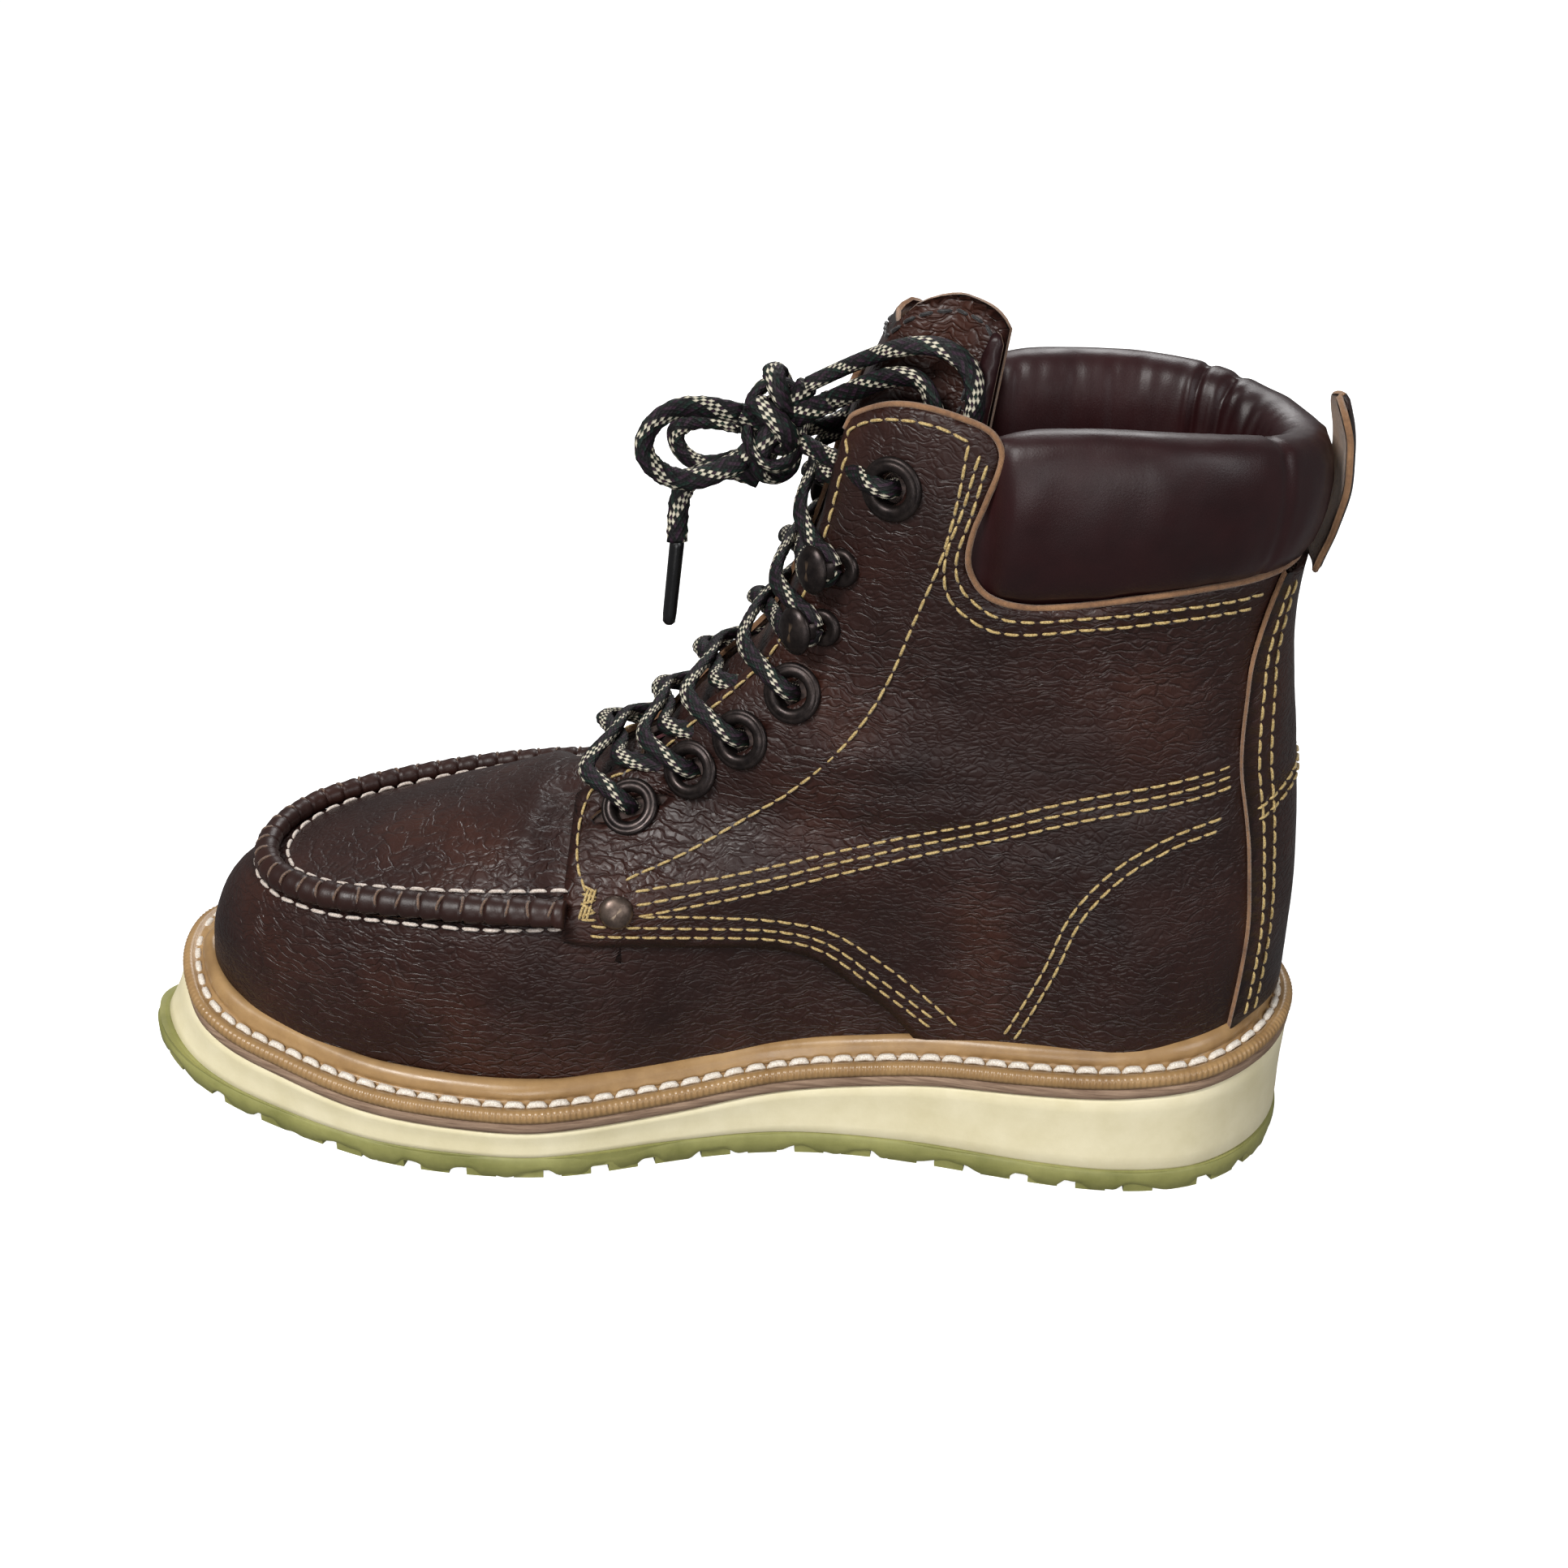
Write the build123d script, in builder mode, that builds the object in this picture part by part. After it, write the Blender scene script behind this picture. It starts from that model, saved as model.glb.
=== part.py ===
from build123d import *
import math
import os

# Steel toe work boot for the right foot, millimetres.
# The toe points to -X, the inner (medial) side to -Y, and Z = 0 is the ground.
# Every leather, lining and stiffener layer is an inset of one upper surface,
# which is described by its horizontal outlines.

# ---------------------------------------------------------------- driving sizes
LEATHER = 2.0
STIFFENER_DEPTH = 2.4
STIFFENER = 1.8
LINING_DEPTH = 4.6
LINING = 1.2
OUTSOLE = 6.0
MIDSOLE_RUBBER = 3.2
WELT = 3.2
BEAD_HEIGHT = 4.6
BEAD_WIDTH = 4.2
INSOLE_BOARD = 2.2
FOOTBED = 4.5
TOE_SPRING = 9.0
SPRING_START = -100.0
SPRING_LENGTH = 55.0
SOLE_FRONT_X = -157.0
SOLE_REAR_X = 154.0
NEAR_Y = 90.0

# Half widths of the sole, (x, half width), from the toe to the heel.
SOLE_TOE = (-155, -5)
SOLE_HEEL = (151, -2)
SOLE_MEDIAL = [(-148, -19), (-134, -30), (-111, -40), (-84, -50), (-56, -53.5), (-39, -52.5),
               (-7, -42.6), (20, -36.5), (52, -37.5), (84, -43), (106, -44.5), (127, -39.7),
               (144, -24)]
SOLE_LATERAL = [(144, 23), (127, 38), (100, 43), (68, 41.5), (35, 41), (5, 46), (-30, 52.5),
                (-60, 53), (-90, 48.5), (-115, 39), (-137, 25), (-149, 11)]

# Height of the wedge's top along the foot, (x, z).
WEDGE_TOP = [(-158, 28.5), (-148, 26), (-137, 22.5), (-125, 19), (-109, 16.8), (-91, 15),
             (-60, 13.8), (-30, 13.8), (-8, 15), (14, 18.2), (36, 21.5), (60, 24.8),
             (100, 28), (125, 30.2), (155, 34)]

# The upper surface: where each outline starts and ends, (z, x).
FRONT_X = [(18, -138), (42, -137.5), (50, -135.5), (60, -130), (66, -122), (69, -112),
           (73, -100), (78, -84), (83, -68), (88, -54), (94, -39), (102, -22), (112, -13),
           (122, -3), (132, 7), (146, 14), (158, 18.7), (172, 22.5), (184, 25), (193, 27.5),
           (203, 31.5), (216, 37)]
BACK_X = [(18, 145.3), (60, 145.6), (73, 145.3), (85, 144.3), (99, 142.8), (113, 140.6),
          (128, 138.4), (140, 136.6), (155, 136.6), (170, 138.5), (190, 139.2), (216, 139.5)]
# How far back from its front an outline reaches its full width, (z, length).
FRONT_REACH = [(18, 70), (60, 70), (67, 66), (70, 76), (72, 86), (80, 115), (90, 138),
               (96, 125), (102, 92), (112, 78), (126, 72), (143, 60), (160, 50), (216, 50)]
# How blunt the front of an outline is, (z, power): 0.5 is an ellipse, less is blunter.
FRONT_POWER = [(18, 0.5), (88, 0.5), (110, 0.42), (130, 0.34), (216, 0.34)]
BACK_REACH = 46.0
# Full half width near the ground along the foot and up the shaft.
FOOT_MEDIAL = [(-140, 35), (-110, 39), (-80, 42.3), (-55, 44.8), (-30, 42.5), (0, 34.5),
               (25, 29.8), (45, 30), (70, 33), (100, 37.5), (120, 38), (145, 36)]
FOOT_LATERAL = [(-140, 35), (-110, 39), (-80, 43), (-55, 45), (-30, 44), (0, 39), (25, 35),
                (45, 33.5), (70, 34), (100, 36), (120, 36), (145, 34)]
SHAFT_WIDTH = [(60, 34.5), (90, 34), (115, 32.5), (140, 33), (160, 35), (176, 37), (195, 37.5),
               (216, 37)]
SHAFT_START = 50.0
SHAFT_FULL = 115.0
TOE_SWING = 4.0

# Moc seam: (x, half width, z).
SEAM = [(-118, 0, 67), (-115.5, 12, 67), (-110, 20, 67.3), (-97, 29.5, 68), (-81, 35, 69.2),
        (-65, 38.8, 70.4), (-50, 41, 71.4), (-35, 42, 72)]
PLUG_REAR_X = -34.0
THROAT_X = -23.0
FLAP_GAP = 19.0
BACKSTAY_WIDTH = [(36, 25), (90, 21), (120, 18), (156, 13.5), (170, 13)]
QUARTER_TOP = [(26, 184), (29, 192.5), (35.5, 198.4), (45, 200), (54, 198.2), (64, 194),
               (61.6, 180), (58.2, 167), (60.5, 159.5), (68, 156), (89, 158), (107.5, 161.5),
               (125, 164.5), (150, 166)]

# Lacing, (x, z): four eyelets, two hooks and the top eyelet, the same on both sides.
EYELETS = [(-20.6, 91.4), (-5.4, 102.5), (7, 113), (19.5, 126.5)]
HOOKS = [(26.5, 144), (30.5, 159.5)]
TOP_EYELET = (41, 180.5)
EYELET_FLANGE = 7.0
EYELET_HOLE = 3.6
EYELET_LENGTH = 6.4
RIVET = (-22.0, 72.0)
LACE = 5.0


# ---------------------------------------------------------------- shape functions
def between(table, value):
    """Smooth curve through (position, size) pairs, level beyond both ends."""
    if value <= table[0][0]:
        return table[0][1]
    if value >= table[-1][0]:
        return table[-1][1]
    last = len(table) - 1
    i = max(k for k in range(last) if table[k][0] <= value)

    def slope(k):
        low, high = max(k - 1, 0), min(k + 1, last)
        return (table[high][1] - table[low][1]) / (table[high][0] - table[low][0])

    span = table[i + 1][0] - table[i][0]
    s = (value - table[i][0]) / span
    start, end = table[i][1], table[i + 1][1]
    return (start * (1 + 2 * s) * (1 - s) ** 2 + end * s * s * (3 - 2 * s)
            + span * s * (1 - s) * ((1 - s) * slope(i) - s * slope(i + 1)))


def smooth_step(value, low, high):
    """0 below low, 1 above high, smooth between."""
    s = min(max((value - low) / (high - low), 0), 1)
    return s * s * (3 - 2 * s)


def tread_height(x):
    """Underside of the sole, which springs up at the toe."""
    return TOE_SPRING * (max(SPRING_START - x, 0) / SPRING_LENGTH) ** 2


def centre_line(x):
    """The toe swings a little to the medial side."""
    return -TOE_SWING * smooth_step(-x, 60, 140)


def half_width(x, z, side):
    """Half width of the upper at x on the outline at height z."""
    foot = between(FOOT_MEDIAL if side < 0 else FOOT_LATERAL, x)
    shaft = smooth_step(z, SHAFT_START, SHAFT_FULL)
    full = foot * (1 - shaft) + between(SHAFT_WIDTH, z) * shaft
    ahead = min(max((x - between(FRONT_X, z)) / between(FRONT_REACH, z), 0), 1)
    behind = min(max((between(BACK_X, z) - x) / BACK_REACH, 0), 1)
    toe = (1 - (1 - ahead) ** 2) ** between(FRONT_POWER, z)
    return full * toe * math.sqrt(1 - (1 - behind) ** 2)


def toe_outline(z, s, rear_x):
    """Point of the outline at s, from -1 (medial, rear_x) round the toe to 1 (lateral)."""
    front = between(FRONT_X, z)
    x = front + (rear_x - front) * (1 - math.cos(abs(s) * math.pi / 2))
    side = -1 if s < 0 else 1
    return x, centre_line(x) + side * half_width(x, z, side)


def heel_outline(z, s, front_x):
    """Point of the outline at s, from 1 (lateral, front_x) round the heel to -1 (medial)."""
    back = between(BACK_X, z)
    x = back - (back - front_x) * (1 - math.cos(abs(s) * math.pi / 2))
    side = -1 if s < 0 else 1
    return x, centre_line(x) + side * half_width(x, z, side)


def inset(outline, z, s, end_x, depth):
    """The outline's point at s, moved depth into the boot along the surface normal."""
    x0, y0 = outline(z, s - 0.01, end_x)
    x1, y1 = outline(z, s + 0.01, end_x)
    x, y = outline(z, s, end_x)
    length = math.hypot(x1 - x0, y1 - y0)
    turn = 1 if outline is toe_outline else -1
    inward = (-(y0 - y1) / length * turn, (x0 - x1) / length * turn)
    upper = outline(z + 0.5, s, end_x)
    lower = outline(z - 0.5, s, end_x)
    slope = (upper[0] - lower[0]) * inward[0] + (upper[1] - lower[1]) * inward[1]
    reach = depth * math.sqrt(1 + min(slope * slope, 3))
    return x + inward[0] * reach, y + inward[1] * reach


def surface_at(x, z, side):
    """Point of the upper at x and z on one side, and its outward normal."""
    along = (half_width(x + 0.5, z, side) - half_width(x - 0.5, z, side))
    upward = (half_width(x, z + 0.5, side) - half_width(x, z - 0.5, side))
    point = Vector(x, centre_line(x) + side * half_width(x, z, side), z)
    return point, Vector(-along, side, -upward).normalized()


def crown(x):
    """Height of the vamp's ridge above x."""
    return between([(pair[1], pair[0]) for pair in FRONT_X], x)


def seam_width(x):
    return between([(point[0], point[1]) for point in SEAM], x)


def seam_height(x):
    return between([(point[0], point[2]) for point in SEAM], x)


def plug_height(x, y):
    """Top of the vamp between the two moc seams."""
    width = max(seam_width(x), 14)
    drop = max(crown(x) - seam_height(x), 1)
    return crown(x) - drop * abs(y / width) ** 2.2


def hardware_plane(place, side):
    """Plane on the upper at an eyelet, hook or rivet, facing outward."""
    point, outward = surface_at(place[0], place[1], side)
    return Plane(origin=point, x_dir=(1, 0, 0.2), z_dir=outward)


# ---------------------------------------------------------------- profile helpers
def band_section(z, outline, end_x, depth, thickness, swing=1.0, count=25):
    """Horizontal section of a layer: a strip from -swing to swing along the outline."""
    steps = [swing * (2 * i / (count - 1) - 1) for i in range(count)]
    outer = [inset(outline, z, s, end_x, depth) for s in steps]
    inner = [inset(outline, z, s, end_x, depth + thickness) for s in steps]
    with BuildSketch(Plane.XY.offset(z)) as section:
        with BuildLine():
            Spline(*outer)
            Line(outer[-1], inner[-1])
            Spline(*reversed(inner))
            Line(inner[0], outer[0])
        make_face()
    return section.sketch


def side_section(z, side, depth, thickness, count=17):
    """Horizontal section of one side's layer, from the instep to the back of the heel."""
    front = max(between(FRONT_X, z) + 1.5, -37)

    def outline(height, s, end_x):
        back = between(BACK_X, height) - 0.15
        x = front + (back - front) * (1 - math.cos(s * math.pi)) / 2
        return x, centre_line(x) + side * half_width(x, height, side)

    def layer_point(s, reach):
        x0, y0 = outline(z, max(s - 0.01, 0), 0)
        x1, y1 = outline(z, min(s + 0.01, 1), 0)
        x, y = outline(z, s, 0)
        length = math.hypot(x1 - x0, y1 - y0)
        inward = ((y1 - y0) / length * side, -(x1 - x0) / length * side)
        rise = half_width(x, z + 0.5, side) - half_width(x, z - 0.5, side)
        slope = rise * abs(inward[1])
        grow = reach * math.sqrt(1 + min(slope * slope, 3))
        return x + inward[0] * grow, y + inward[1] * grow

    steps = [i / (count - 1) for i in range(count)]
    outer = [layer_point(s, depth) for s in steps]
    inner = [layer_point(s, depth + thickness) for s in steps]
    with BuildSketch(Plane.XY.offset(z)) as section:
        with BuildLine():
            Spline(*outer)
            Line(outer[-1], inner[-1])
            Spline(*reversed(inner))
            Line(inner[0], outer[0])
        make_face()
    return section.sketch


def side_view(lower, upper):
    """Face in the side view between two curves, each a list of (x, z) from toe to heel."""
    with BuildSketch(Plane.XZ) as face:
        with BuildLine():
            Spline(*lower)
            Line(lower[-1], upper[-1])
            Spline(*reversed(upper))
            Line(upper[0], lower[0])
        make_face()
    return face.sketch


def sole_plan(height):
    """The sole's outline from above, at one height."""
    with BuildSketch(Plane.XY.offset(height)) as plan:
        with BuildLine():
            Spline(SOLE_TOE, *SOLE_MEDIAL, SOLE_HEEL, *SOLE_LATERAL, periodic=True)
        make_face()
    return plan.sketch


def upper_plan(grow, height):
    """The upper's outline at the welt, grown outward by grow, at one height."""
    toe = [inset(toe_outline, 30, 0.95 * (i / 12 - 1), 5, -grow) for i in range(25)]
    heel = [inset(heel_outline, 30, 0.95 * (1 - i / 8), 5, -grow) for i in range(17)]
    with BuildSketch(Plane.XY.offset(height)) as plan:
        with BuildLine():
            Spline(*toe, *heel, periodic=True)
        make_face()
    return plan.sketch


def wedge_line(rise, count=14):
    """The wedge's top edge in the side view, raised by rise."""
    xs = [SOLE_FRONT_X + (SOLE_REAR_X - SOLE_FRONT_X) * i / (count - 1) for i in range(count)]
    return [(x, between(WEDGE_TOP, x) + rise) for x in xs]


def tread_edges(rise):
    """Draws the sole's underside, raised by rise: level, then springing up to the toe."""
    middle = (SPRING_START + SOLE_FRONT_X) / 2
    bend = [(x, tread_height(x) + rise) for x in (SPRING_START, middle, SOLE_FRONT_X)]
    Line((SOLE_REAR_X, rise), bend[0])
    ThreePointArc(*bend)


def outsole_view():
    """Side view of the outsole."""
    with BuildSketch(Plane.XZ) as view:
        with BuildLine():
            tread_edges(0)
            tread_edges(OUTSOLE)
            front = tread_height(SOLE_FRONT_X)
            Line((SOLE_FRONT_X, front), (SOLE_FRONT_X, front + OUTSOLE))
            Line((SOLE_REAR_X, 0), (SOLE_REAR_X, OUTSOLE))
        make_face()
    return view.sketch


def wedge_view():
    """Side view of the wedge."""
    top = wedge_line(0)
    with BuildSketch(Plane.XZ) as view:
        with BuildLine():
            tread_edges(OUTSOLE)
            Spline(*top)
            Line((SOLE_FRONT_X, tread_height(SOLE_FRONT_X) + OUTSOLE), top[0])
            Line((SOLE_REAR_X, OUTSOLE), top[-1])
        make_face()
    return view.sketch


WELT_TOP = MIDSOLE_RUBBER + WELT
BOARD_TOP = WELT_TOP + INSOLE_BOARD


# ---------------------------------------------------------------- sole unit
def edge_points(count):
    """Evenly spaced points round the sole, each with its outward direction."""
    wire = sole_plan(0).faces()[0].outer_wire()
    for i in range(count):
        point = wire.position_at(i / count)
        tangent = wire.tangent_at(i / count)
        outward = Vector(tangent.Y, -tangent.X, 0)
        if outward.dot(Vector(point.X, point.Y, 0)) < 0:
            outward = outward * -1
        yield point, outward


NOTCH_COUNT = 58
NOTCH_DEPTH = 2.2
with BuildPart() as outsole:
    extrude(sole_plan(-1), amount=30)
    extrude(outsole_view(), amount=NEAR_Y, both=True, mode=Mode.INTERSECT)
    for point, outward in edge_points(NOTCH_COUNT):
        floor = tread_height(point.X)
        notch = Plane(origin=(point.X, point.Y, floor), x_dir=outward, z_dir=(0, 0, 1))
        with BuildSketch(notch.offset(-3)):
            Rectangle(16, 4.6)
        extrude(amount=3 + NOTCH_DEPTH, mode=Mode.SUBTRACT)
outsole.part.label = "outsole"

with BuildPart() as wedge_midsole:
    extrude(sole_plan(-1), amount=50)
    extrude(wedge_view(), amount=NEAR_Y, both=True, mode=Mode.INTERSECT)
wedge_midsole.part.label = "wedge_midsole"

with BuildPart() as rubber_midsole:
    extrude(sole_plan(0), amount=60)
    extrude(side_view(wedge_line(0), wedge_line(MIDSOLE_RUBBER)), amount=NEAR_Y, both=True,
            mode=Mode.INTERSECT)
rubber_midsole.part.label = "rubber_midsole"

with BuildPart() as storm_welt:
    extrude(sole_plan(0), amount=60)
    extrude(side_view(wedge_line(MIDSOLE_RUBBER), wedge_line(WELT_TOP)), amount=NEAR_Y,
            both=True, mode=Mode.INTERSECT)
    with BuildPart(mode=Mode.PRIVATE) as bead:
        extrude(upper_plan(BEAD_WIDTH, 0), amount=60)
        extrude(side_view(wedge_line(WELT_TOP - 0.5), wedge_line(WELT_TOP + BEAD_HEIGHT)),
                amount=NEAR_Y, both=True, mode=Mode.INTERSECT)
    add(bead.part)
    extrude(upper_plan(0.4, 0), amount=60, mode=Mode.SUBTRACT)
storm_welt.part.label = "storm_welt"

SHANK_LENGTH = 105.0
SHANK_WIDTH = 18.0
SHANK_THICK = 1.6
SHANK_X = 42.0
shank_line = [(x, between(WEDGE_TOP, x) + MIDSOLE_RUBBER + 0.6) for x in range(-12, 98, 12)]
with BuildPart() as steel_shank:
    with BuildSketch(Plane.XY):
        with Locations((SHANK_X, -1)):
            SlotOverall(SHANK_LENGTH, SHANK_WIDTH)
    extrude(amount=60)
    upper_line = [(x, z + SHANK_THICK) for x, z in shank_line]
    extrude(side_view(shank_line, upper_line), amount=NEAR_Y, both=True, mode=Mode.INTERSECT)
steel_shank.part.label = "steel_shank"

RIB_DEPTH = 0.3
RIB = 2.4
with BuildPart() as gemming_rib:
    extrude(upper_plan(-RIB_DEPTH, 0), amount=60)
    extrude(side_view(wedge_line(MIDSOLE_RUBBER), wedge_line(WELT_TOP)), amount=NEAR_Y,
            both=True, mode=Mode.INTERSECT)
    extrude(upper_plan(-RIB_DEPTH - RIB, 0), amount=60, mode=Mode.SUBTRACT)
gemming_rib.part.label = "gemming_rib"

with BuildPart() as cork_filler:
    extrude(upper_plan(-RIB_DEPTH - RIB - 0.2, 0), amount=60)
    extrude(side_view(wedge_line(MIDSOLE_RUBBER), wedge_line(WELT_TOP)), amount=NEAR_Y,
            both=True, mode=Mode.INTERSECT)
    add(steel_shank.part, mode=Mode.SUBTRACT)
cork_filler.part.label = "cork_filler"

with BuildPart() as insole_board:
    extrude(upper_plan(-LEATHER - 0.3, 0), amount=60)
    extrude(side_view(wedge_line(WELT_TOP), wedge_line(BOARD_TOP)), amount=NEAR_Y, both=True,
            mode=Mode.INTERSECT)
insole_board.part.label = "insole_board"

with BuildPart() as footbed:
    extrude(upper_plan(-LINING_DEPTH - LINING - 2.4, 0), amount=60)
    extrude(side_view(wedge_line(BOARD_TOP + 0.1), wedge_line(BOARD_TOP + FOOTBED)), amount=NEAR_Y,
            both=True, mode=Mode.INTERSECT)
footbed.part.label = "footbed"

# ---------------------------------------------------------------- toe and vamp
LAYER_GAP = 0.1
BELOW_GROUND = [(SOLE_FRONT_X, -5), (0, -5), (SOLE_REAR_X, -5)]
UNDER_BOARD = side_view(BELOW_GROUND, wedge_line(WELT_TOP + LAYER_GAP))
UNDER_LINING = side_view(BELOW_GROUND, wedge_line(BOARD_TOP + LAYER_GAP))
WALL_LEVELS = [20, 30, 40, 48, 56, 62, 66, 69, 71, 73, 75]
WALL_REAR_X = 60.0
SEAM_HALF = 2.2
QUARTER_FRONT = [(-34, 64), (-12, 62.5), (10, 60), (26, 53), (36, 45), (46, 34), (52, 22)]

with BuildPart() as vamp_wall:
    loft([band_section(z, toe_outline, WALL_REAR_X, 0, LEATHER) for z in WALL_LEVELS])
    top = [(-140, 66.5 - SEAM_HALF), (-118, 66.8 - SEAM_HALF), (-97, 68 - SEAM_HALF),
           (-65, 70.4 - SEAM_HALF), (-34.6, 72 - SEAM_HALF)]
    with BuildSketch(Plane.XZ):
        with BuildLine():
            Spline(*top)
            Line(top[-1], (-34.6, QUARTER_FRONT[0][1] - 0.4))
            Spline((-34.6, QUARTER_FRONT[0][1] - 0.4), *[(x, z - 0.5) for x, z in QUARTER_FRONT[1:]])
            Line((QUARTER_FRONT[-1][0], QUARTER_FRONT[-1][1] - 0.5), (52, 0))
            Polyline((52, 0), (-145, 0), (-145, 66.5 - SEAM_HALF), top[0])
        make_face()
    extrude(amount=NEAR_Y, both=True, mode=Mode.INTERSECT)
    extrude(UNDER_BOARD, amount=NEAR_Y, both=True, mode=Mode.SUBTRACT)
vamp_wall.part.label = "vamp_wall"


def arch_section(x, depth):
    """Cross section of the vamp's top layer at x."""
    reach = seam_width(x) + 6 if x > -110 else 26
    ys = [reach * (i / 8 - 1) for i in range(17)]
    with BuildSketch(Plane.YZ.offset(x)) as section:
        with BuildLine():
            Spline(*[(y + centre_line(x), plug_height(x, y) - depth) for y in ys])
            Line((ys[-1] + centre_line(x), plug_height(x, ys[-1]) - depth),
                 (ys[-1] + centre_line(x), plug_height(x, ys[-1]) - depth - LEATHER))
            Spline(*[(y + centre_line(x), plug_height(x, y) - depth - LEATHER)
                     for y in reversed(ys)])
            Line((ys[0] + centre_line(x), plug_height(x, ys[0]) - depth - LEATHER),
                 (ys[0] + centre_line(x), plug_height(x, ys[0]) - depth))
        make_face()
    return section.sketch


seam_path = [(-36, -42, 72), (-52, -41, 71.3), (-66, -38.8, 70.3), (-82, -35.5, 69.2),
             (-97, -31, 68), (-109, -24, 67.3), (-117, -12, 67), (-118.5, 0, 67),
             (-115.5, 14, 67.1), (-107, 22, 67.4), (-95, 28, 68.2), (-80, 33.5, 69.4),
             (-64, 38, 70.5), (-50, 41, 71.4), (-36, 42, 72)]
MOC_ROLL = 2.1


def seam_roll(radius):
    """A round roll of leather along the moc seam."""
    with BuildPart() as roll:
        with BuildLine() as roll_path:
            Spline(*seam_path)
        with BuildSketch(Plane(origin=roll_path.line @ 0, z_dir=roll_path.line % 0)):
            Circle(radius)
        sweep(path=roll_path.line)
    return roll.part


with BuildPart() as moc_seam:
    add(seam_roll(MOC_ROLL))
moc_seam.part.label = "moc_seam"


PLUG_X = [-120, -112, -104, -96, -86, -74, -62, -50, -40, -30, THROAT_X]
with BuildPart() as vamp_plug:
    loft([arch_section(x, 0) for x in PLUG_X])
    with BuildSketch(Plane.XY):
        with BuildLine():
            medial = [(x, centre_line(x) - max(w - SEAM_HALF, 0)) for x, w, _ in SEAM]
            lateral = [(x, centre_line(x) + max(w - SEAM_HALF, 0)) for x, w, _ in SEAM]
            tip = (SEAM[0][0] + SEAM_HALF, centre_line(-118))
            rear = [(PLUG_REAR_X, 39.8), (PLUG_REAR_X - 0.5, FLAP_GAP - 0.5),
                    (THROAT_X, FLAP_GAP - 0.5)]
            Spline(*reversed(medial[2:]), tip, *lateral[2:])
            Polyline(lateral[-1], rear[1], rear[2], (THROAT_X, -rear[2][1]),
                     (PLUG_REAR_X - 0.5, -rear[1][1]), medial[-1])
        make_face()
    extrude(amount=120, mode=Mode.INTERSECT)
    for side in (-1, 1):
        with BuildSketch(hardware_plane(EYELETS[0], side).offset(-9)):
            Circle(EYELET_HOLE + 0.8)
        extrude(amount=14, mode=Mode.SUBTRACT)
        with BuildSketch(hardware_plane(EYELETS[0], side).offset(0.6)):
            Circle(EYELET_FLANGE + 0.3)
        extrude(amount=6, mode=Mode.SUBTRACT)
    add(seam_roll(MOC_ROLL + LAYER_GAP), mode=Mode.SUBTRACT)
vamp_plug.part.label = "vamp_plug"



# ---------------------------------------------------------------- toe cap and vamp lining
ARCH_BASE = 24.0


def shell_section(x, rear_x, depth):
    """Cross section of the whole toe at x, drawn in by depth towards (rear_x, 0, base)."""
    top = min(seam_height(x) - 1, crown(x) - 4)
    points = []
    for rise in (0, 0.3, 0.55, 0.8, 0.97):
        z = ARCH_BASE + rise * (top - ARCH_BASE)
        points.append((half_width(x, z, 1), z))
    last = points[-1][0]
    for share in (0.7, 0.36):
        points.append((last * share, top + (crown(x) - top) * (1 - share ** 2.2)))
    points = [(-y, z) for y, z in points] + [(0, crown(x))] + [*reversed(points)]
    shrink_x = 1 - depth / (rear_x + 138)
    shrink_y = 1 - depth / 42
    shrink_z = 1 - depth / 46
    placed = [(centre_line(x) + y * shrink_y, ARCH_BASE + (z - ARCH_BASE) * shrink_z)
              for y, z in points]
    with BuildSketch(Plane.YZ.offset(rear_x + (x - rear_x) * shrink_x)) as section:
        with BuildLine():
            Spline(*placed)
            Line(placed[-1], placed[0])
        make_face()
    return section.sketch


CAP_REAR_X = -78.0
CAP_X = [-136.5, -133, -128, -121, -112, -102, -90, CAP_REAR_X]
with BuildPart() as steel_toe_cap:
    loft([shell_section(x, CAP_REAR_X, STIFFENER_DEPTH + 0.4) for x in CAP_X])
    cavity = [shell_section(x, CAP_REAR_X, STIFFENER_DEPTH + 0.4 + STIFFENER) for x in CAP_X]
    loft([*cavity, shell_section(CAP_REAR_X + 4, CAP_REAR_X, STIFFENER_DEPTH + 0.4 + STIFFENER)],
         mode=Mode.SUBTRACT)
    extrude(UNDER_LINING, amount=NEAR_Y, both=True, mode=Mode.SUBTRACT)
steel_toe_cap.part.label = "steel_toe_cap"

EDGING_X = [CAP_REAR_X + 0.3, CAP_REAR_X + 3, CAP_REAR_X + 6]
with BuildPart() as toe_cap_edging:
    loft([shell_section(x, CAP_REAR_X, STIFFENER_DEPTH + 0.4) for x in EDGING_X])
    inside = [EDGING_X[0] - 2, *EDGING_X, EDGING_X[-1] + 2]
    loft([shell_section(x, CAP_REAR_X, STIFFENER_DEPTH + 0.4 + STIFFENER) for x in inside],
         mode=Mode.SUBTRACT)
    extrude(UNDER_LINING, amount=NEAR_Y, both=True, mode=Mode.SUBTRACT)
toe_cap_edging.part.label = "toe_cap_edging"

LINING_REAR_X = -38.0
LINING_X = [*CAP_X, -64, -50, LINING_REAR_X]
with BuildPart() as vamp_lining:
    loft([shell_section(x, LINING_REAR_X, LINING_DEPTH + 0.6) for x in LINING_X])
    cavity = [shell_section(x, LINING_REAR_X, LINING_DEPTH + 0.6 + LINING) for x in LINING_X]
    loft([*cavity, shell_section(LINING_REAR_X + 3, LINING_REAR_X, LINING_DEPTH + LINING + 0.6)],
         mode=Mode.SUBTRACT)
    extrude(UNDER_LINING, amount=NEAR_Y, both=True, mode=Mode.SUBTRACT)
vamp_lining.part.label = "vamp_lining"

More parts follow.
